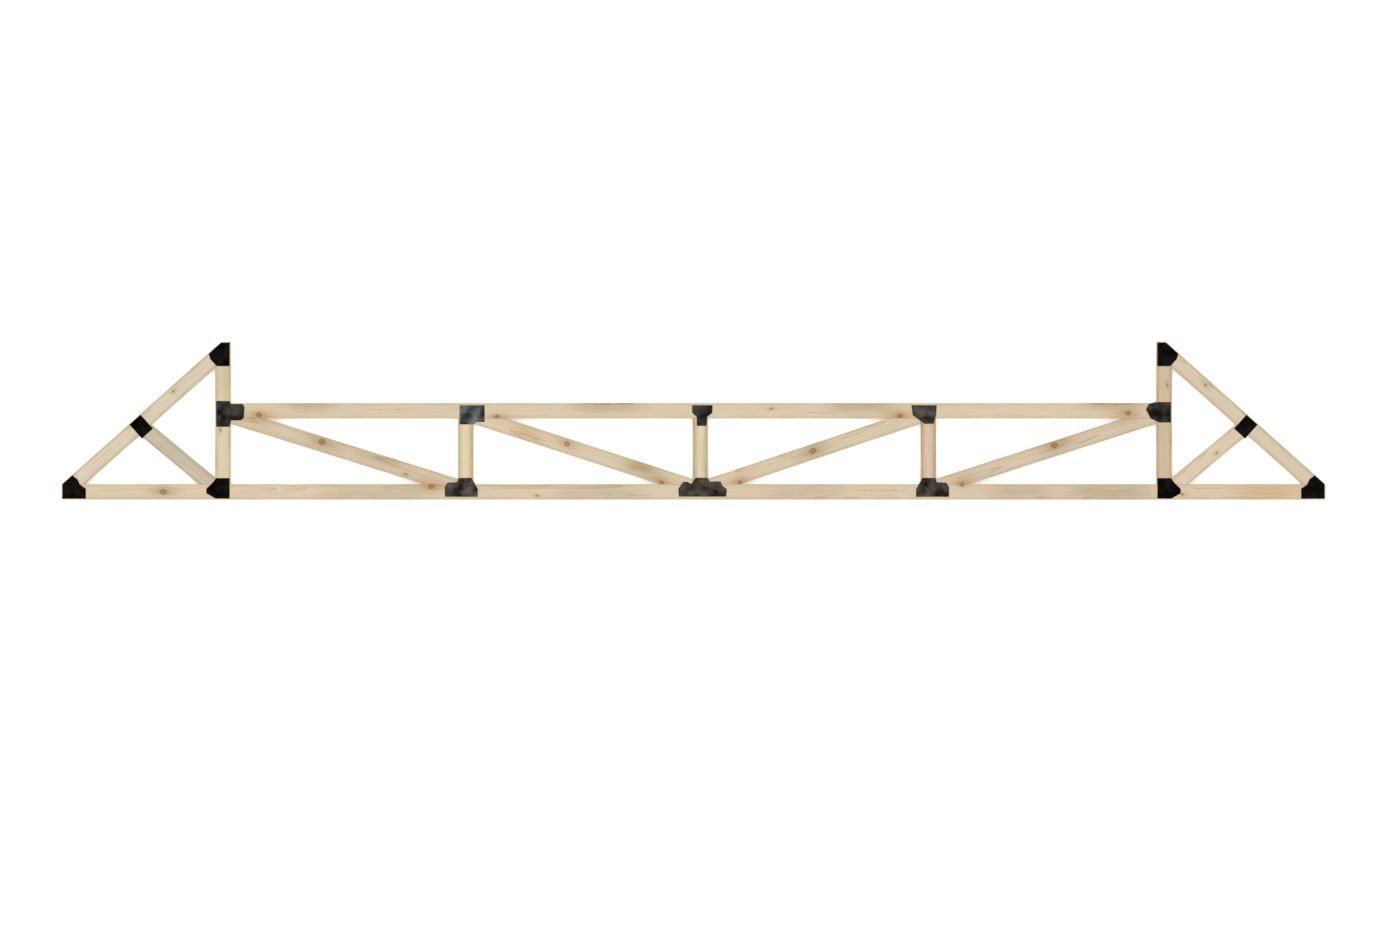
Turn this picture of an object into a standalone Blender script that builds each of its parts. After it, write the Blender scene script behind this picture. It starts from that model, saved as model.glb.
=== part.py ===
"""Cantilevered mansard roof truss with parapets, lying flat as it is stored and delivered.

Every board is planed 38 x 89 mm softwood, all in one plane. A toothed steel connector plate is pressed
on both faces of every joint. X runs along the span, Y up the truss and Z through its thickness. The
drawing below works with x from mid-length and y from the bottom edge of the bottom chord, and the whole
truss is then set with the middle of its outline over the origin and its lower plates on z = 0.
"""

import math

import bmesh
import bpy
from mathutils import Matrix, Vector

# ---- driving dimensions, in metres ----
OVERALL_LENGTH = 7.3152      # 24 ft, heel to heel
OVERALL_HEIGHT = 0.9144      # 3 ft, bottom edge to the top of the parapet posts
FLAT_DEPTH = 0.5588          # 22 in, bottom edge to the top edge of the top chord
CANTILEVER = 0.889           # 35 in, heel end to the outer face of the parapet post
MANSARD_RISE = 0.882         # height at which the mansard's outer edge meets the post
PANEL_POINTS = (-1.319, 0.039, 1.359)   # centre lines of the upright webs between the posts
BOTTOM_SPLICE = 0.039        # where the two boards of the bottom chord butt together

BOARD_DEPTH = 0.089          # a planed two-by-four
BOARD_THICKNESS = 0.038
EASED_EDGE = 0.003           # radius on a board's four long edges
EASED_SEGMENTS = 3
SAW_GAP = 0.0006             # space left where one board butts another
DIAGONAL_AIM = 0.015         # how far inside the chord a diagonal's centre line meets the upright's face
MANSARD_WEB_AIM = 0.068      # height at which the mansard web's centre line meets the post
MANSARD_JOINT = 0.475        # how far up the mansard chord its web meets it, as a share of its length
STOCK_SPARE = 0.35           # extra length on a board before its ends are sawn

PLATE_THICKNESS = 0.0012     # 18 gauge steel
PLATE_LIFT = 0.0003          # space between a plate and the wood

# ---- lines of the drawing that follow from them ----
END_X = OVERALL_LENGTH / 2
POST_OUTER_X = END_X - CANTILEVER
POST_INNER_X = POST_OUTER_X - BOARD_DEPTH
POST_CENTRE_X = POST_OUTER_X - BOARD_DEPTH / 2
BOTTOM_EDGE_Y = BOARD_DEPTH
TOP_EDGE_Y = FLAT_DEPTH - BOARD_DEPTH
SLOPE = math.atan2(MANSARD_RISE - BOTTOM_EDGE_Y, CANTILEVER)
WOOD_BOTTOM_Z = PLATE_THICKNESS + PLATE_LIFT
WOOD_MIDDLE_Z = WOOD_BOTTOM_Z + BOARD_THICKNESS / 2
WOOD_TOP_Z = WOOD_BOTTOM_Z + BOARD_THICKNESS

WOOD_COLOUR = (0.66, 0.50, 0.32)
STEEL_COLOUR = (0.035, 0.035, 0.036)

# Outlines of the plates, in metres, counter-clockwise. A joint at an end of the truss is drawn for the right
# hand end, from the outer face of its post or, at the heel, from the end of the truss, with x going outwards.
# A joint at an upright web is drawn from the web's centre line, with its diagonal on the +x side. y is from
# the bottom edge of the truss, apart from the mansard plate, which has axes of its own.
HEEL_PLATE = (
    (-0.005, 0.005), (-0.005, 0.089), (-0.062, 0.140), (-0.092, 0.118),
    (-0.107, 0.086), (-0.141, 0.064), (-0.141, 0.005),
)
PEAK_PLATE = (
    (-0.084, 0.772), (-0.010, 0.772), (0.028, 0.812), (0.037, 0.844), (-0.034, 0.908), (-0.084, 0.908),
)
BEARING_PLATE = (
    (-0.084, 0.006), (-0.002, 0.006), (0.051, 0.036), (0.051, 0.062), (0.014, 0.098),
    (-0.006, 0.124), (-0.084, 0.124),
)
LEFT_POST_PLATE = (
    (-0.084, 0.421), (-0.006, 0.421), (-0.006, 0.570), (-0.084, 0.570), (-0.092, 0.553),
    (-0.160, 0.553), (-0.170, 0.534), (-0.166, 0.472), (-0.150, 0.458), (-0.092, 0.458),
)
RIGHT_POST_PLATE = (
    (-0.072, 0.446), (-0.006, 0.446), (-0.006, 0.564), (-0.098, 0.564), (-0.134, 0.553),
    (-0.150, 0.520), (-0.122, 0.468),
)
LEFT_TOP_PLATE = (
    (-0.035, 0.435), (0.044, 0.435), (0.064, 0.449), (0.110, 0.449), (0.110, 0.546), (-0.035, 0.546),
)
RIGHT_TOP_PLATE = (
    (-0.031, 0.438), (0.022, 0.438), (0.090, 0.488), (0.098, 0.546), (-0.048, 0.546), (-0.046, 0.494),
)
MIDDLE_TOP_PLATE = (
    (-0.020, 0.426), (0.036, 0.426), (0.040, 0.478), (0.070, 0.502), (0.071, 0.546),
    (-0.047, 0.546), (-0.047, 0.504), (-0.020, 0.476),
)
BOTTOM_PLATE = (
    (-0.071, 0.016), (0.119, 0.016), (0.121, 0.071), (0.104, 0.098), (0.050, 0.100),
    (0.040, 0.125), (-0.034, 0.125), (-0.071, 0.060),
)
MIDDLE_BOTTOM_PLATE = (
    (-0.124, 0.017), (0.150, 0.017), (0.154, 0.060), (0.126, 0.082), (0.118, 0.105), (0.056, 0.104),
    (0.042, 0.126), (-0.026, 0.126), (-0.052, 0.090), (-0.076, 0.103), (-0.100, 0.101), (-0.127, 0.062),
)
MANSARD_PLATE_WIDTH = 0.086   # along the mansard chord
MANSARD_PLATE_OUTER = -0.040  # from the chord's centre line, away from the web
MANSARD_PLATE_INNER = 0.068   # and towards it


def clear_scene():
    """Removes whatever the startup file holds."""
    for obj in list(bpy.data.objects):
        bpy.data.objects.remove(obj)


def make_material(name, colour, roughness, metallic):
    """A Principled material."""
    material = bpy.data.materials.new(name)
    material.use_nodes = True
    shader = material.node_tree.nodes["Principled BSDF"]
    shader.inputs["Base Color"].default_value = (*colour, 1.0)
    shader.inputs["Roughness"].default_value = roughness
    shader.inputs["Metallic"].default_value = metallic
    return material


def add_object(name, mesh_maker, material, truss):
    """Makes one named object from a bmesh, hung on the empty that places the truss."""
    mesh = bpy.data.meshes.new(name)
    mesh_maker.to_mesh(mesh)
    mesh_maker.free()
    mesh.materials.append(material)
    obj = bpy.data.objects.new(name, mesh)
    bpy.context.collection.objects.link(obj)
    obj.parent = truss
    return obj


def board_section():
    """The board's section as (depth, thickness) points, with its four edges eased to a small radius."""
    points = []
    for quarter, (side_y, side_z) in enumerate(((1, 1), (-1, 1), (-1, -1), (1, -1))):
        centre_y = side_y * (BOARD_DEPTH / 2 - EASED_EDGE)
        centre_z = side_z * (BOARD_THICKNESS / 2 - EASED_EDGE)
        for step in range(EASED_SEGMENTS + 1):
            angle = math.radians(90) * (quarter + step / EASED_SEGMENTS)
            points.append((centre_y + EASED_EDGE * math.cos(angle), centre_z + EASED_EDGE * math.sin(angle)))
    return points


def saw(mesh_maker, point, outward):
    """Saws off what lies beyond a plane square to the truss's faces, and closes the cut."""
    geometry = mesh_maker.verts[:] + mesh_maker.edges[:] + mesh_maker.faces[:]
    cut = bmesh.ops.bisect_plane(
        mesh_maker, geom=geometry, plane_co=(*point, 0.0), plane_no=(*outward, 0.0), clear_outer=True
    )
    edges = [item for item in cut["geom_cut"] if isinstance(item, bmesh.types.BMEdge)]
    if edges:
        bmesh.ops.contextual_create(mesh_maker, geom=edges)


def add_board(name, start, end, cuts, material, truss):
    """A board along a centre line, sawn by planes given as (point, outward direction) in the drawing."""
    start, end = Vector(start), Vector(end)
    along = (end - start).normalized()
    spare = along * STOCK_SPARE
    across = Vector((-along.y, along.x))
    mesh_maker = bmesh.new()
    ring = []
    for depth, thickness in board_section():
        place = start - spare + across * depth
        ring.append(mesh_maker.verts.new((*place, thickness)))
    first_end = mesh_maker.faces.new(ring)
    grown = bmesh.ops.extrude_face_region(mesh_maker, geom=[first_end])
    moved = [item for item in grown["geom"] if isinstance(item, bmesh.types.BMVert)]
    bmesh.ops.translate(mesh_maker, verts=moved, vec=(*(end - start + 2 * spare), 0.0))
    for point, outward in cuts:
        saw(mesh_maker, point, outward)
    bmesh.ops.recalc_face_normals(mesh_maker, faces=mesh_maker.faces)
    board = add_object(name, mesh_maker, material, truss)
    board.location.z = WOOD_MIDDLE_Z
    board.data.shade_smooth()
    board.data.set_sharp_from_angle(angle=math.radians(40))
    return board


def left_of(x):
    """A cut that keeps what lies left of x, short of it by the saw gap."""
    return ((x - SAW_GAP, 0.0), (1.0, 0.0))


def right_of(x):
    """A cut that keeps what lies right of x, short of it by the saw gap."""
    return ((x + SAW_GAP, 0.0), (-1.0, 0.0))


def below(y):
    """A cut that keeps what lies below y, short of it by the saw gap."""
    return ((0.0, y - SAW_GAP), (0.0, 1.0))


def above(y):
    """A cut that keeps what lies above y, short of it by the saw gap."""
    return ((0.0, y + SAW_GAP), (0.0, -1.0))


def add_chords(wood, truss):
    """The bottom chord, two boards butted under the middle plates, and the one-piece top chord."""
    middle_y = BOARD_DEPTH / 2
    left_end = ((-END_X, 0.0), (-1.0, 0.0))
    right_end = ((END_X, 0.0), (1.0, 0.0))
    splice = (BOTTOM_SPLICE, middle_y)
    add_board("bottom_chord_left", (-END_X, middle_y), splice, (left_end, left_of(BOTTOM_SPLICE)), wood, truss)
    add_board("bottom_chord_right", splice, (END_X, middle_y), (right_of(BOTTOM_SPLICE), right_end), wood, truss)
    top_y = FLAT_DEPTH - BOARD_DEPTH / 2
    cuts = (right_of(-POST_INNER_X), left_of(POST_INNER_X))
    add_board("top_chord", (-POST_INNER_X, top_y), (POST_INNER_X, top_y), cuts, wood, truss)


def add_upright_webs(wood, truss):
    """The short uprights between the chords."""
    for number, x in enumerate(PANEL_POINTS, start=1):
        cuts = (above(BOTTOM_EDGE_Y), below(TOP_EDGE_Y))
        add_board(f"upright_web_{number}", (x, BOTTOM_EDGE_Y), (x, TOP_EDGE_Y), cuts, wood, truss)


def add_diagonal_webs(wood, truss):
    """One diagonal to a panel, high at the posts, double cut at each end to fit its corner."""
    centres = (-POST_CENTRE_X, *PANEL_POINTS, POST_CENTRE_X)
    high, low = TOP_EDGE_Y + DIAGONAL_AIM, BOTTOM_EDGE_Y - DIAGONAL_AIM
    for panel, (left, right) in enumerate(zip(centres, centres[1:])):
        left_face, right_face = left + BOARD_DEPTH / 2, right - BOARD_DEPTH / 2
        left_y, right_y = (high, low) if panel < 2 else (low, high)
        cuts = (right_of(left_face), left_of(right_face), above(BOTTOM_EDGE_Y), below(TOP_EDGE_Y))
        name = f"diagonal_web_{panel + 1}"
        add_board(name, (left_face, left_y), (right_face, right_y), cuts, wood, truss)


def add_mansard_end(side_name, side, wood, truss):
    """The parapet post, mansard chord and mansard web of one end. side is -1 at the left and 1 at the right."""
    # The slope, in the drawing: along goes up the mansard towards the post, outward away from the truss.
    along = Vector((-side * math.cos(SLOPE), math.sin(SLOPE)))
    outward = Vector((side * math.sin(SLOPE), math.cos(SLOPE)))
    heel_corner = Vector((side * END_X, BOTTOM_EDGE_Y))
    foot = heel_corner - outward * BOARD_DEPTH / 2
    head = foot + along * CANTILEVER / math.cos(SLOPE)
    joint = foot.lerp(head, MANSARD_JOINT)

    post_x = side * POST_CENTRE_X
    post_cuts = (
        above(BOTTOM_EDGE_Y),
        ((0.0, OVERALL_HEIGHT), (0.0, 1.0)),
        (tuple(heel_corner), tuple(outward)),
    )
    name = f"parapet_post_{side_name}"
    add_board(name, (post_x, BOTTOM_EDGE_Y), (post_x, OVERALL_HEIGHT), post_cuts, wood, truss)

    outside_post = right_of(POST_OUTER_X) if side > 0 else left_of(-POST_OUTER_X)
    add_board(f"mansard_chord_{side_name}", foot, head, (above(BOTTOM_EDGE_Y), outside_post), wood, truss)

    inner_edge = joint - outward * (BOARD_DEPTH / 2 + SAW_GAP)
    web_foot = (side * POST_OUTER_X, MANSARD_WEB_AIM)
    web_cuts = (above(BOTTOM_EDGE_Y), outside_post, (tuple(inner_edge), tuple(outward)))
    add_board(f"mansard_web_{side_name}", web_foot, joint, web_cuts, wood, truss)
    return joint, along, outward


def add_plate_pair(name, outline, steel, truss):
    """The same sheared outline on the front and the back face of the truss, each a plate of its own."""
    low_faces = {"front": WOOD_TOP_Z + PLATE_LIFT, "back": 0.0}
    for face_name, low_z in low_faces.items():
        mesh_maker = bmesh.new()
        ring = [mesh_maker.verts.new((x, y, low_z)) for x, y in outline]
        sheet = mesh_maker.faces.new(ring)
        grown = bmesh.ops.extrude_face_region(mesh_maker, geom=[sheet])
        moved = [item for item in grown["geom"] if isinstance(item, bmesh.types.BMVert)]
        bmesh.ops.translate(mesh_maker, verts=moved, vec=(0.0, 0.0, PLATE_THICKNESS))
        bmesh.ops.recalc_face_normals(mesh_maker, faces=mesh_maker.faces)
        add_object(f"{name}_plate_{face_name}", mesh_maker, steel, truss)


def placed(outline, from_x, hand):
    """An outline moved to its joint, and turned over for the left hand by hand = -1."""
    return [(from_x + hand * x, y) for x, y in outline]


def add_end_plates(side_name, side, mansard, post_outline, steel, truss):
    """The five joints of one mansard end."""
    joint, along, outward = mansard
    add_plate_pair(f"heel_{side_name}", placed(HEEL_PLATE, side * END_X, side), steel, truss)
    for name, outline in (("parapet_peak", PEAK_PLATE), ("bearing", BEARING_PLATE), ("post_top_chord", post_outline)):
        add_plate_pair(f"{name}_{side_name}", placed(outline, side * POST_OUTER_X, side), steel, truss)
    half = along * MANSARD_PLATE_WIDTH / 2
    outer = joint - outward * MANSARD_PLATE_OUTER
    inner = joint - outward * MANSARD_PLATE_INNER
    corners = [tuple(p) for p in (outer - half, outer + half, inner + half, inner - half)]
    add_plate_pair(f"mansard_{side_name}", corners, steel, truss)


def add_web_plates(steel, truss):
    """The joints at the upright webs, with the outer ones' diagonals on opposite sides."""
    left, middle, right = PANEL_POINTS
    joints = (
        ("top_1", LEFT_TOP_PLATE, left, 1),
        ("top_2", MIDDLE_TOP_PLATE, middle, 1),
        ("top_3", RIGHT_TOP_PLATE, right, -1),
        ("bottom_1", BOTTOM_PLATE, left, -1),
        ("bottom_2", MIDDLE_BOTTOM_PLATE, middle, 1),
        ("bottom_3", BOTTOM_PLATE, right, 1),
    )
    for name, outline, x, hand in joints:
        add_plate_pair(name, placed(outline, x, hand), steel, truss)


def main():
    clear_scene()
    wood = make_material("softwood", WOOD_COLOUR, 0.65, 0.0)
    steel = make_material("dark_steel", STEEL_COLOUR, 0.45, 0.8)
    truss = bpy.data.objects.new("truss", None)
    bpy.context.collection.objects.link(truss)
    truss.location.y = -OVERALL_HEIGHT / 2
    add_chords(wood, truss)
    add_upright_webs(wood, truss)
    add_diagonal_webs(wood, truss)
    for side_name, side, post_outline in (("left", -1, LEFT_POST_PLATE), ("right", 1, RIGHT_POST_PLATE)):
        mansard = add_mansard_end(side_name, side, wood, truss)
        add_end_plates(side_name, side, mansard, post_outline, steel, truss)
    add_web_plates(steel, truss)


main()
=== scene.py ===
"""Looks of a wooden roof truss with mansard ends: planed softwood boards and punched steel connector plates.

Each board is a section carried along its length, laid over the board's CAD node and sawn where that node is
sawn. Each plate is cut from its CAD node's outline, with slots and with the teeth that were bent out of them.
Everything is in metres, with X along the span, Y up the truss and Z through its thickness.
"""

import logging
import math
from dataclasses import dataclass, field
from enum import Enum

import bpy
import numpy as np
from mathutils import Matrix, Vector
from mathutils.geometry import delaunay_2d_cdt


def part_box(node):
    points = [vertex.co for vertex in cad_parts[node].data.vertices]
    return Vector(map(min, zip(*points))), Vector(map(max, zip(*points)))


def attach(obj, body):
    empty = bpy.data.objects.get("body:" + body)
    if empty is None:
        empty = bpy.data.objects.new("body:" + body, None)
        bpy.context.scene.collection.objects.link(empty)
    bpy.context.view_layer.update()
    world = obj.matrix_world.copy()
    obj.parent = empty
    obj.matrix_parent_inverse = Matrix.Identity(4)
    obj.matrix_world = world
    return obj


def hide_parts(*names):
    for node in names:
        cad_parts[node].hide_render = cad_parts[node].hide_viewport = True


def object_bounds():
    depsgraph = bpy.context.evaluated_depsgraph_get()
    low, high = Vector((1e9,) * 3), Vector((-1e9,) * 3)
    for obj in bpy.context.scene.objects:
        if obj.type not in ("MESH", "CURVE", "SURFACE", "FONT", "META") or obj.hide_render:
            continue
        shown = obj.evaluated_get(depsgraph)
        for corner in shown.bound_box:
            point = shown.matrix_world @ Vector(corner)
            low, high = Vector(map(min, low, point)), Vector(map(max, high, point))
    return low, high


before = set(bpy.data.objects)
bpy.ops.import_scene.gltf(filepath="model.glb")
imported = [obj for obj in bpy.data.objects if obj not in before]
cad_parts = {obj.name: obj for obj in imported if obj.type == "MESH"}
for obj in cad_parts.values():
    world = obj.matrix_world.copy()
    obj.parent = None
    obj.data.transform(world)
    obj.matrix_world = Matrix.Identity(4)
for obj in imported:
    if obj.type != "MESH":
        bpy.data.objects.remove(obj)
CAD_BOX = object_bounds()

LOG = logging.getLogger("roof_truss")
BODY = "root"
SAME_HEIGHT = 1e-4                # heights closer than this are on one face
SAME_OFFSET = 1e-5                # offsets closer than this are on one line
TINY = 1e-12                      # keeps a division by nothing away
HARD_EDGE = math.radians(32)      # faces that turn by more than this meet in a hard edge
KNOT_LENGTH = 1.25                # a knot's length along the board over its width

Colour = tuple[float, float, float]
Point = tuple[float, float]
Socket = bpy.types.NodeSocket


# ---- reading the CAD nodes ----


@dataclass(frozen=True)
class Facets:
    """The triangles of a CAD node.

    Attributes:
        corners: The corners, as (triangle, corner, axis).
        normals: The unit normals, as (triangle, axis).
        areas: The areas.
    """

    corners: np.ndarray
    normals: np.ndarray
    areas: np.ndarray

    @classmethod
    def of_node(cls, node: str) -> "Facets":
        """Reads a node. A triangle's normal is the cross product of two sides, over its length.

        Args:
            node: The CAD node's name.

        Returns:
            Its triangles.
        """
        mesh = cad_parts[node].data
        mesh.calc_loop_triangles()
        places = np.empty(len(mesh.vertices) * 3, np.float32)
        mesh.vertices.foreach_get("co", places)
        index = np.empty(len(mesh.loop_triangles) * 3, np.int32)
        mesh.loop_triangles.foreach_get("vertices", index)
        corners = places.reshape(-1, 3)[index].reshape(-1, 3, 3).astype(float)
        crossed = np.cross(corners[:, 1] - corners[:, 0], corners[:, 2] - corners[:, 0])
        length = np.linalg.norm(crossed, axis=1)
        return cls(corners, crossed / np.maximum(length, TINY)[:, None], length / 2)


@dataclass(frozen=True)
class BoardLayout:
    """Where a board lies and how its ends are sawn.

    Attributes:
        along: Unit vector up or to the right along the board.
        across: Unit vector across its depth, a quarter turn anticlockwise from along.
        middle: The middle of its centre line.
        half_depth: Half its depth.
        half_thickness: Half its thickness.
        start: The first end's cut, as rows of (offset across, place along) from the middle.
        end: The other end's cut.
    """

    along: np.ndarray
    across: np.ndarray
    middle: np.ndarray
    half_depth: float
    half_thickness: float
    start: np.ndarray
    end: np.ndarray

    @classmethod
    def of_node(cls, node: str) -> "BoardLayout":
        """Measures a board's node. Its largest upright facet gives the direction across it.

        Args:
            node: The CAD node's name.

        Returns:
            The layout, with each cut as the furthest corners of the node at each offset across.
        """
        least_tilt = 0.02
        right_or_up = (1.0, 0.3, 0.0)
        facets = Facets.of_node(node)
        upright = facets.areas * (np.abs(facets.normals[:, 2]) < least_tilt)
        normal = facets.normals[np.argmax(upright)]
        along = np.array([normal[1], -normal[0], 0.0]) / math.hypot(normal[0], normal[1])
        along *= np.sign(along @ right_or_up)
        across = np.array([-along[1], along[0], 0.0])
        places = facets.corners.reshape(-1, 3)
        run, off, height = places @ along, places @ across, places[:, 2]
        centre_off, centre_height = (off.max() + off.min()) / 2, (height.max() + height.min()) / 2
        off = off - centre_off
        first_half = run < (run.max() + run.min()) / 2
        start = cls._profile(run[first_half], off[first_half], np.minimum)
        end = cls._profile(run[~first_half], off[~first_half], np.maximum)
        centre_run = (np.interp(0.0, *start.T) + np.interp(0.0, *end.T)) / 2
        middle = along * centre_run + across * centre_off + np.array([0.0, 0.0, centre_height])
        depth, thickness = off.max(), (height.max() - height.min()) / 2
        shift = np.array([0.0, centre_run])
        return cls(along, across, middle, float(depth), float(thickness), start - shift, end - shift)

    @staticmethod
    def _profile(run: np.ndarray, off: np.ndarray, furthest: np.ufunc) -> np.ndarray:
        """Finds the cut at one end of a board.

        Args:
            run: Places along the board of the node's corners in that half.
            off: Their offsets across it.
            furthest: np.minimum for the first end and np.maximum for the other.

        Returns:
            The cut as rows of (offset, place along), one for each offset that a corner has.
        """
        levels, index = np.unique(np.round(off, 5), return_inverse=True)
        reach = np.full(len(levels), np.inf if furthest is np.minimum else -np.inf)
        furthest.at(reach, index.ravel(), run)
        return np.column_stack((levels, reach))

    def folds(self, flat: float) -> np.ndarray:
        """Finds the offsets within the flat of the face where a double cut changes direction.

        Args:
            flat: Half the width of the flat face.

        Returns:
            The offsets, in order.
        """
        margin = 0.0005
        offsets = np.concatenate((self.start[:, 0], self.end[:, 0]))
        return np.unique(offsets[np.abs(offsets) < flat - margin])

    def world(self, run: np.ndarray, off: np.ndarray, height: np.ndarray) -> np.ndarray:
        """Places points of the board in the row frame, at middle + run along + off across + height upwards.

        Args:
            run: Places along the board.
            off: Offsets across it.
            height: Heights through it.

        Returns:
            The points, with x, y and z as a last axis.
        """
        parts = (run, off, height)
        axes = (self.along, self.across, np.array([0.0, 0.0, 1.0]))
        return self.middle + sum(part[..., None] * axis for part, axis in zip(parts, axes))


# ---- meshes ----


def smoothstep(low: float, high: float, value: np.ndarray) -> np.ndarray:
    """Rises from 0 to 1 as 3t^2 - 2t^3.

    Args:
        low: The value at which t is 0.
        high: The value at which t is 1.
        value: The values.

    Returns:
        The height of the step at each value.
    """
    t = np.clip((value - low) / (high - low), 0.0, 1.0)
    return t * t * (3 - 2 * t)


def ripple(run: np.ndarray, seed: int, length: float, waves: int = 5) -> np.ndarray:
    """A smooth random line between about -1 and 1: sines at random wavelengths near length, averaged.

    Args:
        run: Where the line is wanted.
        seed: Picks the line.
        length: The middle wavelength.
        waves: How many sines.

    Returns:
        The line's value at each place.
    """
    shortest, longest = 0.45, 2.2
    draw = np.random.default_rng(seed)
    lengths = length * draw.uniform(shortest, longest, waves)
    phases = draw.uniform(0, 2 * math.pi, waves)
    lines = [np.sin(2 * math.pi * run / size + phase) for size, phase in zip(lengths, phases)]
    return sum(lines) / math.sqrt(waves)


def tube_walls(rings: int, around: int) -> tuple[np.ndarray, np.ndarray]:
    """Numbers the vertices of a row of closed rings and joins each ring to the next.

    Args:
        rings: How many rings.
        around: Points in each ring.

    Returns:
        The vertices' numbers as (ring, point), and the quads between the rings.
    """
    index = np.arange(rings * around).reshape(rings, around)
    after = np.roll(index, -1, axis=1)
    walls = np.stack((index[:-1], after[:-1], after[1:], index[1:]), -1).reshape(-1, 4)
    return index, walls


def mesh_object(
    name: str, points: np.ndarray, faces: list[list[int]], material: bpy.types.Material
) -> bpy.types.Object:
    """Makes a piece from its points and outward faces, shaded smooth except at its hard edges.

    Args:
        name: The piece's name.
        points: Its vertices, as (vertex, axis), in the row frame.
        faces: Each face's vertices.
        material: What it wears.

    Returns:
        The object, at the origin.
    """
    mesh = bpy.data.meshes.new(name)
    mesh.from_pydata(points.tolist(), [], faces)
    mesh.validate()
    mesh.materials.append(material)
    mesh.shade_smooth()
    mesh.set_sharp_from_angle(angle=HARD_EDGE)
    piece = bpy.data.objects.new(name, mesh)
    bpy.context.collection.objects.link(piece)
    return piece


class AttributeKind(Enum):
    """What a piece stores on its vertices, as the property that holds it."""

    FLOAT = "value"
    FLOAT_VECTOR = "vector"
    FLOAT_COLOR = "color"


def set_attribute(piece: bpy.types.Object, name: str, kind: AttributeKind, values: np.ndarray) -> None:
    """Stores values on a piece's vertices.

    Args:
        piece: The object.
        name: The attribute's name.
        kind: What is stored.
        values: One number or row a vertex.
    """
    attribute = piece.data.attributes.new(name, kind.name, "POINT")
    attribute.data.foreach_set(kind.value, values.astype(np.float32).ravel())


# ---- materials ----


class Spacing(Enum):
    """How often a pattern of the wood repeats, in times to the metre along the grain and across it."""

    SWAY = (1.3, 9.0)
    MOTTLE = (4.5, 18.0)
    HUE = (5.5, 38.0)
    FIBRE = (9.0, 900.0)
    FLECK = (70.0, 1500.0)


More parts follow.
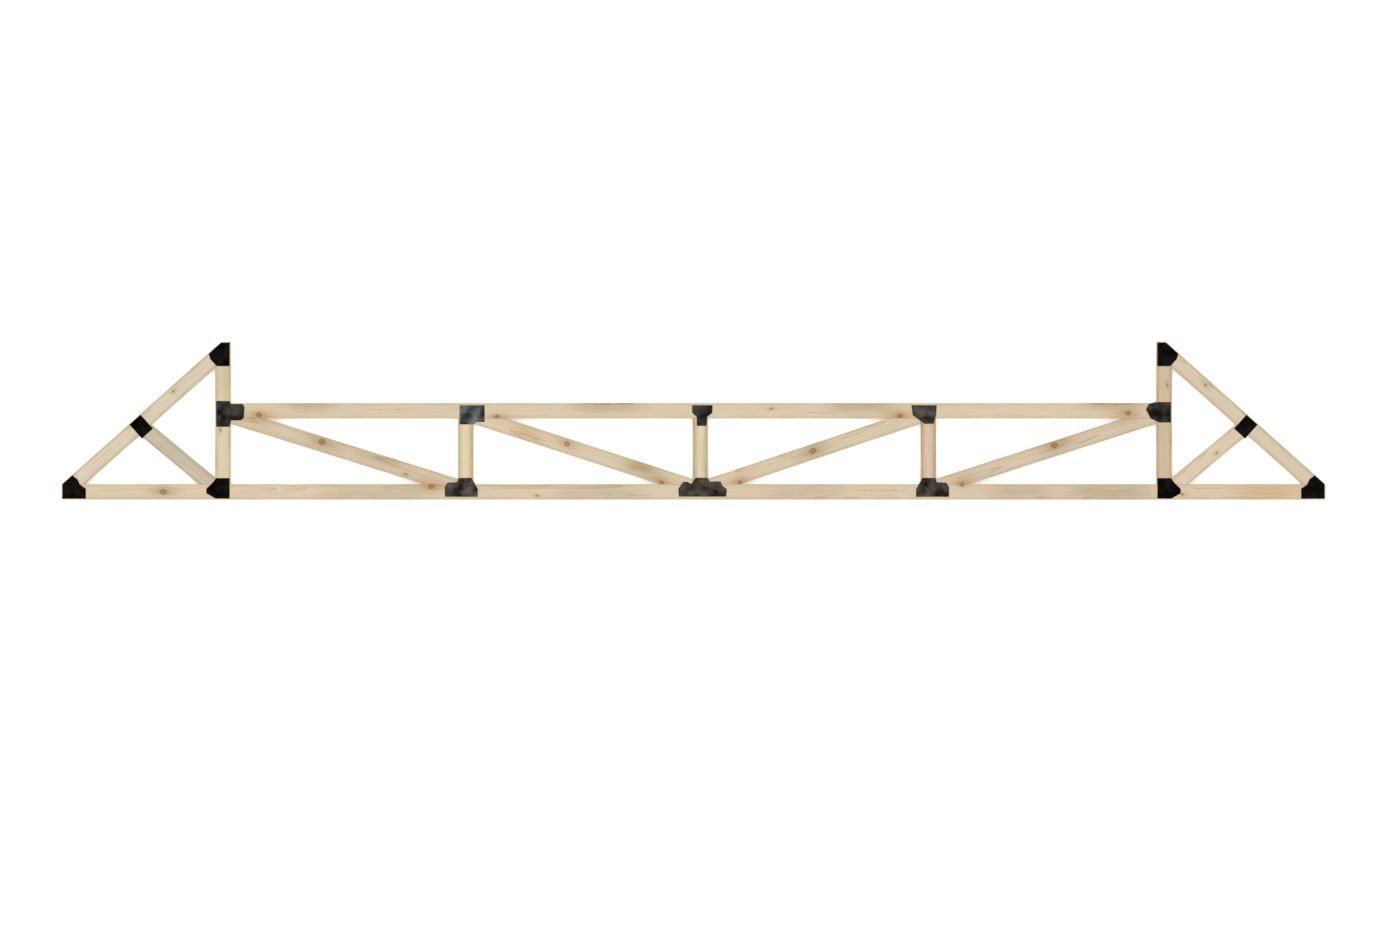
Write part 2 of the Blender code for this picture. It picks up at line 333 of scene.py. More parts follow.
class Graph:
    """Makes a material and joins its nodes."""

    def __init__(self, name: str) -> None:
        """Starts a material with a Principled shader.

        Args:
            name: The material's name.
        """
        self.material = bpy.data.materials.new(name)
        self.material.use_nodes = True
        self.tree = self.material.node_tree
        self.shader = self.tree.nodes["Principled BSDF"]

    def node(self, kind: str, **settings: object) -> bpy.types.Node:
        """Adds a node.

        Args:
            kind: The node's type.
            settings: Its properties.

        Returns:
            The node.
        """
        node = self.tree.nodes.new(kind)
        for key, value in settings.items():
            setattr(node, key, value)
        return node

    def feed(self, socket: Socket, value: object) -> None:
        """Links a value to a socket if it is a socket too, and otherwise sets it.

        Args:
            socket: The socket fed.
            value: Another node's output, or a constant.
        """
        if isinstance(value, Socket):
            self.tree.links.new(value, socket)
        else:
            socket.default_value = value

    def math(self, operation: str, *values: object, clamp: bool = False) -> Socket:
        """Works with numbers.

        Args:
            operation: What the Math node does.
            values: What it does it to.
            clamp: True to keep the result from 0 to 1.

        Returns:
            The result.
        """
        node = self.node("ShaderNodeMath", operation=operation, use_clamp=clamp)
        for socket, value in zip(node.inputs, values):
            self.feed(socket, value)
        return node.outputs[0]

    def times(self, first: object, second: object) -> Socket:
        """The product of two numbers."""
        return self.math("MULTIPLY", first, second)

    def vector(self, operation: str, *values: object) -> Socket:
        """Works with vectors.

        Args:
            operation: What the Vector Math node does.
            values: What it does it to.

        Returns:
            The vector, or the number where the operation gives one.
        """
        node = self.node("ShaderNodeVectorMath", operation=operation)
        for socket, value in zip(node.inputs, values):
            self.feed(socket, value)
        return node.outputs["Value" if operation in ("LENGTH", "DOT_PRODUCT") else "Vector"]

    def split(self, vector: Socket) -> list[Socket]:
        """Takes a vector apart.

        Args:
            vector: The vector.

        Returns:
            Its three numbers.
        """
        node = self.node("ShaderNodeSeparateXYZ")
        self.feed(node.inputs[0], vector)
        return list(node.outputs)

    def join(self, *values: object) -> Socket:
        """Makes a vector.

        Args:
            values: Its three numbers.

        Returns:
            The vector.
        """
        node = self.node("ShaderNodeCombineXYZ")
        for socket, value in zip(node.inputs, values):
            self.feed(socket, value)
        return node.outputs[0]

    def spaced(self, place: Socket, spacing: Spacing) -> Socket:
        """Scales a place in the wood to the spacing of a pattern, so that it is drawn out along the grain.

        Args:
            place: The place, as (along, across, through).
            spacing: The pattern's.

        Returns:
            The coordinates.
        """
        along, across = spacing.value
        return self.vector("MULTIPLY", place, (along, across, across))

    def noise(self, vector: object, detail: float = 2.0, colour: bool = False, **inputs: float) -> Socket:
        """Draws noise.

        Args:
            vector: The coordinates. They are already at its scale, unless a Scale is given.
            detail: How many finer layers it has.
            colour: True for three separate values.
            inputs: The node's other inputs.

        Returns:
            The noise, from 0 to 1.
        """
        node = self.node("ShaderNodeTexNoise")
        self.feed(node.inputs["Vector"], vector)
        for key, value in {"Scale": 1.0, "Detail": detail, **inputs}.items():
            self.feed(node.inputs[key], value)
        return node.outputs["Color" if colour else "Fac"]

    def ramp(self, value: object, *stops: tuple[float, float | Colour]) -> Socket:
        """Turns a number into a grey or a colour.

        Args:
            value: The number.
            stops: The greys or colours, each after the number that it stands at.

        Returns:
            The shade between the stops.
        """
        node = self.node("ShaderNodeValToRGB")
        self.feed(node.inputs[0], value)
        elements = node.color_ramp.elements
        while len(elements) < len(stops):
            elements.new(0.5)
        for element, (place, shade) in zip(elements, stops):
            element.position = place
            element.color = (*shade, 1.0) if isinstance(shade, tuple) else (shade, shade, shade, 1.0)
        return node.outputs[0]

    def mix(self, share: object, first: object, second: object, blend: str = "MIX") -> Socket:
        """Mixes two colours.

        Args:
            share: How much of the second there is.
            first: The first colour.
            second: The second colour.
            blend: How the second is laid over the first.

        Returns:
            The mixed colour.
        """
        node = self.node("ShaderNodeMix", data_type="RGBA", blend_type=blend)
        self.feed(node.inputs[0], share)
        for socket, value in ((node.inputs[6], first), (node.inputs[7], second)):
            self.feed(socket, (*value, 1.0) if isinstance(value, tuple) else value)
        return node.outputs[2]

    def tinted(self, colour: object, tint: object) -> Socket:
        """The product of two colours."""
        return self.mix(1.0, colour, tint, "MULTIPLY")

    def attribute(self, name: str, output: str = "Vector") -> Socket:
        """One of the values stored on the piece."""
        return self.node("ShaderNodeAttribute", attribute_name=name).outputs[output]

    def bump(self, height: object, distance: float, strength: float) -> None:
        """Feeds the shader's normal.

        Args:
            height: The height of the surface, from 0 to about 1.
            distance: What a height of 1 stands for.
            strength: How much of it shows.
        """
        node = self.node("ShaderNodeBump")
        node.inputs["Strength"].default_value = strength
        node.inputs["Distance"].default_value = distance
        self.feed(node.inputs["Height"], height)
        self.feed(self.shader.inputs["Normal"], node.outputs[0])


@dataclass(frozen=True)
class Figure:
    """The patterns of a board's wood. All but the place run from 0 to 1.

    Attributes:
        place: The place from the log's heart, as (along, across, through), pushed aside by the knots.
        line: The dark line that ends each growth ring.
        fibre: Fine streaks.
        mottle: Slow changes of tone.
        near_knot: 1 at the middle of the nearest knot, falling to 0 round it.
    """

    place: Socket
    line: Socket
    fibre: Socket
    mottle: Socket
    near_knot: Socket


@dataclass(frozen=True)
class SoftwoodFinish:
    """Planed spruce or pine, cut through a log whose growth rings it shows.

    Attributes:
        early: Colour of the pale spring wood.
        late: Colour of the dark line that ends each ring.
        knot_core: Colour of a knot.
        knot_rim: Colour of the bark line round it.
        amber: Colour of the resinous wood near a knot.
        brown_stain: Colour that a brown stretch is multiplied by.
        grey_stain_and_edge_shade: Colour that a grey stretch is multiplied by. On the uprights the grey
            stretches run along both edges as painted shade.
        edge_shade: Colour that the wood beside an arris is multiplied by: painted shade that darkens each
            board towards its edges.
        bark: Colour of a waney edge.
        check: Colour painted inside a drying check, as the shade in it.
        ring: Width of a growth ring.
        ring_spread: How many rings' width the rings bunch up or spread by.
        heart_sway: How far the log's heart wanders.
        flow_along: How far along the board a knot turns the grain, in knot radii.
        flow_across: How far across it.
        roughness: Roughness of the planed face.
        sawn_roughness: How much rougher a sawn end is.
    """

    early: Colour = (0.70, 0.565, 0.395)
    late: Colour = (0.47, 0.325, 0.185)
    knot_core: Colour = (0.41, 0.250, 0.125)
    knot_rim: Colour = (0.200, 0.115, 0.062)
    amber: Colour = (0.47, 0.315, 0.165)
    brown_stain: Colour = (0.86, 0.68, 0.47)
    grey_stain_and_edge_shade: Colour = (0.70, 0.68, 0.59)
    edge_shade: Colour = (0.70, 0.64, 0.53)
    bark: Colour = (0.20, 0.125, 0.07)
    check: Colour = (0.085, 0.05, 0.03)
    ring: float = 0.0042
    ring_spread: float = 3.2
    heart_sway: float = 0.022
    flow_along: float = 4.2
    flow_across: float = 2.0
    roughness: float = 0.62
    sawn_roughness: float = 0.2

    def make(self) -> bpy.types.Material:
        """Builds the material from the grain, knot, stains and painted edge shade, marks with painted crack
        shade, and tint stored on each board.

        Returns:
            The material.
        """
        g = Graph("planed_softwood")
        knot = g.split(g.attribute("knot"))
        wane, check, sawn_end = g.split(g.attribute("marks"))
        figure = self._figure(g, knot)
        in_knot, knot_rings, core = self._knot(g, figure, knot)

        wood = self._clear_wood(g, figure)
        halo = g.times(figure.near_knot, g.ramp(figure.line, (0.0, 0.62), (1.0, 0.95)))
        wood = g.mix(halo, wood, self.amber)
        wood = g.mix(in_knot, wood, core)
        # darker stretches, and painted shade beside the arrises
        wood = self._stained_and_edge_shaded(g, figure, wood)
        wood = g.mix(wane, wood, self._waney_edge(g, figure))
        wood = g.mix(sawn_end, wood, self._end_grain(g, figure, wood))
        # painted shade inside the drying cracks
        wood = g.mix(check, wood, self.check)
        g.feed(g.shader.inputs["Base Color"], wood)

        planed = g.math("MULTIPLY_ADD", figure.line, -0.10, self.roughness)
        roughness = g.math("MULTIPLY_ADD", sawn_end, self.sawn_roughness, planed, clamp=True)
        g.feed(g.shader.inputs["Roughness"], roughness)
        relief = g.math("MULTIPLY_ADD", figure.fibre, 0.5, g.times(figure.line, 0.35))
        relief = g.math("MULTIPLY_ADD", wane, g.times(figure.mottle, 4.0), relief)
        relief = g.math("SUBTRACT", relief, g.times(in_knot, g.times(knot_rings, 0.4)))
        g.bump(relief, 0.0005, 0.55)
        return g.material

    def _figure(self, g: Graph, knot: list[Socket]) -> Figure:
        """Works out the growth rings and streaks from the grain stored on the board.

        Rings are bands of distance from the log's heart, which wanders. Near a knot the grain is pushed aside
        by the offset from the knot times exp(-(a^2 + b^2)), where a and b are the places along and across
        from it over the reach of the flow. So it flows round the knot.

        Args:
            g: The material's graph.
            knot: The place from the nearest knot along and across, and its radius.

        Returns:
            The patterns.
        """
        run, off, height = g.split(g.attribute("grain"))
        knot_run, knot_off, knot_size = knot
        a = g.math("DIVIDE", knot_run, g.times(knot_size, self.flow_along))
        b = g.math("DIVIDE", knot_off, g.times(knot_size, self.flow_across))
        near_knot = g.math("EXPONENT", g.times(g.math("MULTIPLY_ADD", a, a, g.times(b, b)), -1.0))
        off = g.math("SUBTRACT", off, g.times(knot_off, near_knot))
        place = g.join(run, off, height)

        sway = g.vector("SUBTRACT", g.noise(g.spaced(place, Spacing.SWAY), 2.0, True), (0.5, 0.5, 0.5))
        sway = g.vector("MULTIPLY", sway, (0.0, self.heart_sway, self.heart_sway))
        radius = g.vector("LENGTH", g.vector("ADD", g.join(0.0, off, height), sway))
        uneven = g.noise(g.join(g.times(radius, 70.0), g.times(run, 0.25), 3.7), 1.0)
        years = g.math("ADD", g.math("DIVIDE", radius, self.ring), g.times(uneven, self.ring_spread))
        season = g.math("FRACT", years)
        spring, summer = ((0.0, 0.12), (0.40, 0.10), (0.70, 0.42)), ((0.90, 1.0), (0.965, 0.85), (1.0, 0.12))
        line = g.ramp(season, *spring, *summer)
        harshness = g.noise(g.join(g.math("FLOOR", years), 0.5, 0.5), 0.0, Scale=1.7)
        line = g.times(line, g.ramp(harshness, (0.25, 0.25), (0.75, 0.95)))
        fibre = g.noise(g.spaced(place, Spacing.FIBRE), 3.0, Roughness=0.65)
        mottle = g.noise(g.spaced(place, Spacing.MOTTLE), 2.0)
        return Figure(place, line, fibre, mottle, near_knot)

    def _clear_wood(self, g: Graph, figure: Figure) -> Socket:
        """Colours the wood away from knots: ring lines, streaks, slow changes of hue and resin flecks.

        Args:
            g: The material's graph.
            figure: The wood's patterns.

        Returns:
            The colour.
        """
        hue = g.noise(g.spaced(figure.place, Spacing.HUE), 1.0, True)
        hue = g.vector("MULTIPLY_ADD", hue, (0.10, 0.10, 0.10), (0.95, 0.95, 0.95))
        fleck = g.ramp(g.noise(g.spaced(figure.place, Spacing.FLECK), 1.0), (0.66, 0.0), (0.74, 1.0))
        wood = g.mix(g.times(figure.line, 0.62), self.early, self.late)
        wood = g.tinted(wood, g.ramp(figure.fibre, (0.25, 0.86), (0.75, 1.10)))
        wood = g.tinted(wood, g.ramp(figure.mottle, (0.30, (1.04, 0.985, 0.93)), (0.70, (0.96, 1.0, 0.98))))
        wood = g.tinted(wood, hue)
        wood = g.mix(g.times(fleck, 0.30), wood, self.late)
        return g.tinted(wood, g.attribute("tint", "Color"))

    def _knot(self, g: Graph, figure: Figure, knot: list[Socket]) -> tuple[Socket, Socket, Socket]:
        """Draws a knot, with its own rings, cracks from its middle and a dark line round it.

        Its outline is where its reach comes to 1. That is the distance from its middle, sqrt(p^2 + q^2) in
        knot radii, plus a wobble.

        Args:
            g: The material's graph.
            figure: The wood's patterns.
            knot: The place from the nearest knot along and across, and its radius.

        Returns:
            1 inside the knot, its rings, and its colour.
        """
        knot_run, knot_off, knot_size = knot
        p = g.math("DIVIDE", knot_run, g.times(knot_size, KNOT_LENGTH))
        q = g.math("DIVIDE", knot_off, knot_size)
        run = g.split(figure.place)[0]
        wobble = g.noise(g.join(g.times(run, 90.0), g.times(knot_off, 90.0), 0.0), 1.0)
        wobble = g.math("MULTIPLY_ADD", wobble, 0.55, -0.275)
        distance = g.math("SQRT", g.math("MULTIPLY_ADD", p, p, g.times(q, q)))
        reach = g.math("ADD", distance, wobble)
        rings = g.math("MULTIPLY_ADD", g.math("SINE", g.times(reach, 31.0)), 0.5, 0.5)
        direction = g.vector("NORMALIZE", g.join(p, q, 0.0))
        cracks = g.ramp(g.noise(direction, 0.0, Scale=7.0), (0.62, 0.0), (0.70, 1.0))
        rim = g.ramp(reach, (0.80, 0.0), (0.96, 1.0), (1.0, 1.0))
        core = g.mix(g.times(rings, 0.28), self.knot_core, self.knot_rim)
        core = g.mix(g.times(cracks, 0.45), core, self.knot_rim)
        core = g.mix(g.times(rim, 0.85), core, self.knot_rim)
        inside = g.ramp(g.times(reach, 0.5), (0.47, 1.0), (0.56, 0.0))
        return inside, rings, core

    def _stained_and_edge_shaded(self, g: Graph, figure: Figure, wood: Socket) -> Socket:
        """Darkens the brown and grey stretches stored on the board and paints shade beside its arrises, more
        between the fibres.

        Args:
            g: The material's graph.
            figure: The wood's patterns.
            wood: The colour so far.

        Returns:
            The colour.
        """
        grey, brown_stain, arris = g.split(g.attribute("wear"))
        streaky = g.ramp(figure.fibre, (0.2, 1.0), (0.8, 0.55))
        # arris carries the painted edge shade; on the uprights the grey stretches are painted edge shade too
        for amount, tint in ((brown_stain, self.brown_stain), (grey, self.grey_stain_and_edge_shade), (arris, self.edge_shade)):
            wood = g.mix(g.times(amount, streaky), wood, g.tinted(wood, tint))
        return wood

    def _waney_edge(self, g: Graph, figure: Figure) -> Socket:
        """Colours a waney edge: strands of bark over bare wood.

        Args:
            g: The material's graph.
            figure: The wood's patterns.

        Returns:
            The colour.
        """
        strands = g.mix(g.ramp(figure.fibre, (0.34, 0.0), (0.62, 1.0)), self.bark, self.late)
        return g.tinted(strands, g.ramp(figure.mottle, (0.32, 0.72), (0.68, 1.15)))

    def _end_grain(self, g: Graph, figure: Figure, wood: Socket) -> Socket:
        """Darkens a sawn end in the saw's fine lines.

        Args:
            g: The material's graph.
            figure: The wood's patterns.
            wood: The colour so far.

        Returns:
            The colour.
        """
        off, height = g.split(figure.place)[1:]
        kerf = g.noise(g.join(g.times(off, 40.0), g.times(height, 900.0), 0.0), 1.0)
        return g.tinted(wood, g.ramp(kerf, (0.3, (0.70, 0.66, 0.58)), (0.7, (0.88, 0.84, 0.78))))


@dataclass(frozen=True)
class SteelFinish:
    """Dark sheet steel of a connector plate, with broad lighter and darker patches of painted reflection, a
    faint spangle and brighter sheared rims.

    Attributes:
        name: The material's name.
        base: Colour of the sheet.
        glint: Colour of the brighter spangles.
        rim: Colour of the worn rims of the slots and of the outline.
        spangles: How many spangles there are to the metre.
        smudges: How many smudges there are to the metre.
        specks: How many bright specks there are to the metre.
        reflection_patches: How many patches of painted reflection, lighter and darker, there are to the
            metre.
        reflection_dark: Colour that the darkest patches of painted reflection are multiplied by.
        reflection_light: Colour that the lightest patches of painted reflection are multiplied by.
        roughness: Roughness of the sheet.
    """

    name: str
    base: Colour
    glint: Colour
    rim: Colour
    spangles: float = 140.0
    smudges: float = 22.0
    specks: float = 900.0
    reflection_patches: float = 16.0
    reflection_dark: Colour = (0.28, 0.27, 0.24)
    reflection_light: Colour = (2.00, 2.00, 2.02)
    roughness: float = 0.44

    def make(self) -> bpy.types.Material:
        """Builds the material. Spangles are cells, and smudges and the patches of painted reflection follow
        slow noise.

        Returns:
            The material.
        """
        g = Graph(self.name)
        place = g.node("ShaderNodeTexCoord").outputs["Object"]
        cells = g.node("ShaderNodeTexVoronoi")
        g.feed(cells.inputs["Vector"], place)
        cells.inputs["Scale"].default_value = self.spangles
        spangle = g.split(cells.outputs["Color"])[0]
        smudge = g.noise(place, 3.0, Scale=self.smudges)
        speck = g.ramp(g.noise(place, 2.0, Scale=self.specks), (0.62, 0.0), (0.72, 1.0))
        # broad patches of painted reflection, lighter and darker
        patch = g.noise(place, 2.0, Scale=self.reflection_patches)
        patch = g.ramp(patch, (0.34, self.reflection_dark), (0.66, self.reflection_light))
        shine = g.times(spangle, g.ramp(smudge, (0.3, 0.25), (0.7, 1.0)))
        steel = g.tinted(g.mix(shine, self.base, self.glint), patch)
        steel = g.mix(g.times(speck, 0.5), steel, self.glint)
        worn = g.times(g.attribute("rim", "Fac"), g.ramp(smudge, (0.35, 0.3), (0.6, 1.0)))
        g.feed(g.shader.inputs["Base Color"], g.mix(worn, steel, self.rim))
        rough = g.math("MULTIPLY_ADD", smudge, 0.22, self.roughness - 0.11)
        g.feed(g.shader.inputs["Roughness"], g.math("MULTIPLY_ADD", spangle, 0.08, rough))
        g.shader.inputs["Metallic"].default_value = 1.0
        g.bump(g.math("MULTIPLY_ADD", smudge, 1.0, g.times(spangle, 0.12)), 0.0006, 0.35)
        return g.material


# ---- boards ----


@dataclass(frozen=True)
class Knot:
    """A knot right through a board.

    Attributes:
        at: Its place along, in metres from the board's middle.
        off: Its offset across.
        radius: Its radius.
    """

    at: float
    off: float
    radius: float = 0.010


class StainKind(Enum):
    """How a stretch of wood is darkened, as its place in the stains and painted edge shade stored on a board.
    """

    GREY = 0
    RESIN = 1


@dataclass(frozen=True)
class Stain:
    """A darker stretch of a board.

    Attributes:
        start: Where it starts, in metres from the board's middle.
        end: Where it ends.
        off: The offset across at which it is darkest.
        breadth: How far across it fades.
        strength: How dark, from 0 to 1.
        kind: What darkens it.
    """

    start: float
    end: float
    off: float = 0.0
    breadth: float = 0.05
    strength: float = 0.8
    kind: StainKind = StainKind.GREY


@dataclass(frozen=True)
class Wane:
    """A stretch where the log's round outside is left on an arris of the front face.

    Attributes:
        start: Where it starts, in metres from the board's middle.
        end: Where it ends.
        side: 1 for the upper or left arris and -1 for the other.
        size: How much of the corner is missing at most.
        bare: How deep it has to be for the bark to show fully.
    """

    start: float
    end: float
    side: int
    size: float = 0.010
    bare: float = 0.0012


@dataclass(frozen=True)
class Check:
    """A drying crack in the front face.

    Attributes:
        start: Where it starts, in metres from the board's middle.
        end: Where it ends.
        off: Its offset across.
        depth: Its depth.
        width: Its width.
        stray: How far it strays from its line.
    """

    start: float
    end: float
    off: float
    depth: float = 0.0016
    width: float = 0.0009
    stray: float = 0.0009


@dataclass(frozen=True)
class BoardLook:
    """What tells one board from the next.

    Attributes:
        heart: Where the log's heart lies from the board's centre line, across and through it.
        tint: What the wood's colour is multiplied by.
        edge_shade: How much darker the wood is painted beside the arrises, as shade.
        knots: Its knots.
        stains: Its darker stretches.
        wanes: Its waney stretches.
        checks: Its drying cracks.
    """

    heart: Point = (0.012, -0.060)
    tint: Colour = (1.0, 1.0, 1.0)
    edge_shade: float = 0.9
    knots: tuple[Knot, ...] = ()
    stains: tuple[Stain, ...] = ()
    wanes: tuple[Wane, ...] = ()
    checks: tuple[Check, ...] = ()


class Line(Enum):
    """What a board's random line is for, as what its seed goes up by."""

    PLANING_WAVE = 0
    SLOW_WAVE = 1
    HEART_ACROSS = 20
    HEART_THROUGH = 21
    HANDLING = 30
    WANE = 50
    CHECK = 70


@dataclass
class Board:
    """One sawn board.

    Attributes:
        node: The CAD node that it stands for.
        look: What it looks like.
        seed: Picks its random lines.
        eased: Radius of its planed arrises.
        rub: How far a sawn end's edge is rubbed off.
        planing_wave: Depth of the planed face's waves.
        knot_dish: Depth of the dish that a planer leaves at a knot.
        step: Space between rows along the board.
        least_rows: Fewest rows along it.
        face_points: Points across a wide face, between its arrises.
        least_space: Least space between an even point of the face and a fold or crack.
        edge_points: Points across a narrow edge.
        arc_steps: Steps round an arris.
        heart_wander: How far the log's heart wanders from a straight line.
        heart_slope: How far it runs off across the board in a metre.
        log_spacing: How far apart the seeds lie in the one pattern that all the boards are cut from.
        layout: Where it lies and how its ends are sawn.
    """

    node: str
    look: BoardLook
    seed: int
    eased: float = 0.003
    rub: float = 0.0006
    planing_wave: float = 0.00012
    knot_dish: float = 0.0003
    step: float = 0.0065
    least_rows: int = 8
    face_points: int = 14
    least_space: float = 0.0018
    edge_points: int = 5
    arc_steps: int = 3
    heart_wander: float = 0.004
    heart_slope: float = 0.006
    log_spacing: float = 3.1
    layout: BoardLayout = field(init=False)

    def __post_init__(self) -> None:
        """Measures the CAD node."""
        self.layout = BoardLayout.of_node(self.node)

    def _line(self, line: Line, run: np.ndarray, length: float, number: int = 0) -> np.ndarray:
        """One of the board's random lines at each place, waving at about a length."""
        return ripple(run, self.seed + line.value + number, length)

    def _face_offsets(self) -> np.ndarray:
        """Spaces the points of a wide face: closer towards the arrises, plus the folds and the cracks.

        Returns:
            The offsets in order, as -f cos(pi k / n) over the half width f, with the extra ones put in.
        """
        flat = self.layout.half_depth - self.eased
        count = self.face_points + 1
        even = -flat * np.cos(math.pi * np.arange(1, count) / count)
        cracks = [crack.off + k * crack.width for crack in self.look.checks for k in (-0.5, 0, 0.5)]
        special = np.concatenate((self.layout.folds(flat), cracks))
        if len(special):
            even = even[np.abs(even[:, None] - special).min(1) > self.least_space]
        return np.unique(np.round(np.concatenate((even, special)), 6))

    def _section(self) -> tuple[np.ndarray, np.ndarray, np.ndarray]:
        """Draws the section, clockwise from the lower arris of the front face as seen from the far end.

        Arris points are a quarter circle, c + r (cos a, sin a). The back's points mirror those of the front.

        Returns:
            Offsets across, heights, and the place in the front half of each fold.
        """
        deep, thick, r = self.layout.half_depth, self.layout.half_thickness, self.eased
        offsets = self._face_offsets()
        angle = np.linspace(0, math.pi / 2, self.arc_steps + 1)
        arc_off, arc_height = deep - r + r * np.sin(angle), thick - r + r * np.cos(angle)
        front_off = np.concatenate((-arc_off[::-1], offsets, arc_off))
        front_height = np.concatenate((arc_height[::-1], np.full(len(offsets), thick), arc_height))
        share = np.arange(1, self.edge_points + 1) / (self.edge_points + 1)
        edge_height = (thick - r) * np.cos(math.pi * share)
        edge_off = np.full(self.edge_points, deep)
        off = np.concatenate((front_off, edge_off, front_off[::-1], -edge_off))
        height = np.concatenate((front_height, edge_height, -front_height[::-1], -edge_height))
        folds = [int(np.argmin(np.abs(offsets - fold))) for fold in self.layout.folds(deep - r)]
        return off, height, np.array(folds, int) + self.arc_steps + 1

    def _caps(self, start: int, count: int, folds: np.ndarray, far: bool) -> list[list[int]]:
        """Closes an end with a face to each plane of its cut.

        Args:
            start: The ring's first vertex.
            count: Points in the ring.
            folds: Where in the front half a fold crosses.
            far: True for the far end.

        Returns:
            The faces, each from one fold over the front to the next, and back under it.
        """
        ring = np.arange(count)
        edge = self.edge_points
        half = count // 2 - edge
        stops = [0, *folds.tolist(), half - 1]
        caps = []
        for first, last in zip(stops, stops[1:]):
            front = ring[first : last + 1]
            back_first, back_last = half + edge + half - 1 - last, half + edge + half - 1 - first
            turn = ring[half : half + edge] if last == half - 1 else ring[:0]
            close = ring[count - edge :] if first == 0 else ring[:0]
            loop = np.concatenate((front, turn, ring[back_first : back_last + 1], close)) + start
            caps.append(loop[::-1].tolist() if far else loop.tolist())
        return caps

    def _rows(self) -> np.ndarray:
        """Spaces the rows along the board.

        Returns:
            Their shares of its length, from 0 to 1, with a pair close together at each rubbed end.
        """
        length = float(self.layout.end[:, 1].max() - self.layout.start[:, 1].min())
        count = max(self.least_rows, round(length / self.step))
        rub = self.rub / length
        return np.concatenate(([0.0], np.linspace(rub, 1 - rub, count), [1.0]))

    def _wane(self, run: np.ndarray, off: np.ndarray, height: np.ndarray) -> tuple[np.ndarray, ...]:
        """Moves the points of a waney arris in.

        A point whose distance from the corner, measured along the two faces, is less than the missing size
        goes back along the diagonal until it is that far. The size swells and dies away over a third of the
        stretch.

        Args:
            run: Places along the board.
            off: Offsets across it.
            height: Heights through it.

        Returns:
            The new offsets and heights, and how waney each point is.
        """
        taper = 0.35
        bare = np.zeros_like(run)
        deep, thick = self.layout.half_depth, self.layout.half_thickness
        for number, wane in enumerate(self.look.wanes):
            share = (run - wane.start) / (wane.end - wane.start)
            swell = smoothstep(0, taper, share) * smoothstep(0, taper, 1 - share)
            size = wane.size * swell * (0.8 + 0.2 * self._line(Line.WANE, run, 0.09, number))
            away = (deep - wane.side * off) + (thick - height)
            missing = np.clip(size - away, 0, None)
            off = off - wane.side * missing / 2
            height = height - missing / 2
            bare = np.maximum(bare, smoothstep(0.0, wane.bare, missing))
        return off, height, bare

    def _cracks(
        self, run: np.ndarray, off: np.ndarray, height: np.ndarray, drawn_off: np.ndarray
    ) -> tuple[np.ndarray, ...]:
        """Sinks the middle line of each crack and moves its lips apart. Both fade towards the crack's ends.

        Args:
            run: Places along the board.
            off: Offsets across it.
            height: Heights through it.
            drawn_off: The offsets as the section was drawn, before anything moved them.

        Returns:
            The new offsets and heights, and how far inside a crack each point is, where the finish paints the
            crack's shade.
        """
        taper = 0.3
        dark = np.zeros_like(run)
        front = height > self.layout.half_thickness - SAME_HEIGHT
        for number, crack in enumerate(self.look.checks):
            share = (run - crack.start) / (crack.end - crack.start)
            fade = smoothstep(0, taper, share) * smoothstep(0, taper, 1 - share) * front
            beside = drawn_off - crack.off
            centre = np.abs(beside) < SAME_OFFSET
            near = np.abs(beside) < crack.width * 0.75
            lips = np.where(near & ~centre, np.sign(beside) * crack.width * 0.45, 0.0)
            reach = smoothstep(-taper, 0, share) * smoothstep(-taper, 0, 1 - share) * near * front
            stray = crack.stray * self._line(Line.CHECK, run, 0.12, number)
            off = off + lips * fade + stray * reach
            height = height - centre * fade * crack.depth
            dark = np.maximum(dark, centre * smoothstep(0.05, 0.6, fade))
        return off, height, dark

    def _knot_field(self, run: np.ndarray, off: np.ndarray) -> np.ndarray:
        """Finds the nearest knot to each point.

        Halfway to the next knot the place jumps from one to the other. The radius shrinks to almost nothing
        there, as the nearest knot comes to be no nearer than the second, so that the jump doesn't show.

        Args:
            run: Places along the board.
            off: Offsets across it.

        Returns:
            The place from that knot along and across, and its radius, for each point.
        """
        far_away, no_knot, least_radius, along_reach = 1e9, (9.0, 9.0, 0.01), 1e-6, 1.6
        if not self.look.knots:
            return np.broadcast_to(no_knot, (*run.shape, 3))
        at, across, radius = np.array([(knot.at, knot.off, knot.radius) for knot in self.look.knots]).T
        away = np.hypot((run[..., None] - at) / along_reach, off[..., None] - across) / radius
        near = np.argmin(away, -1)
        with_spare = np.concatenate((away, np.full((*run.shape, 1), far_away)), -1)
        closest, second = np.moveaxis(np.sort(with_spare, -1)[..., :2], -1, 0)
        size = radius[near] * (1 - smoothstep(0.6, 0.9, closest / second)) + least_radius
        return np.stack((run - at[near], off - across[near], size), -1)

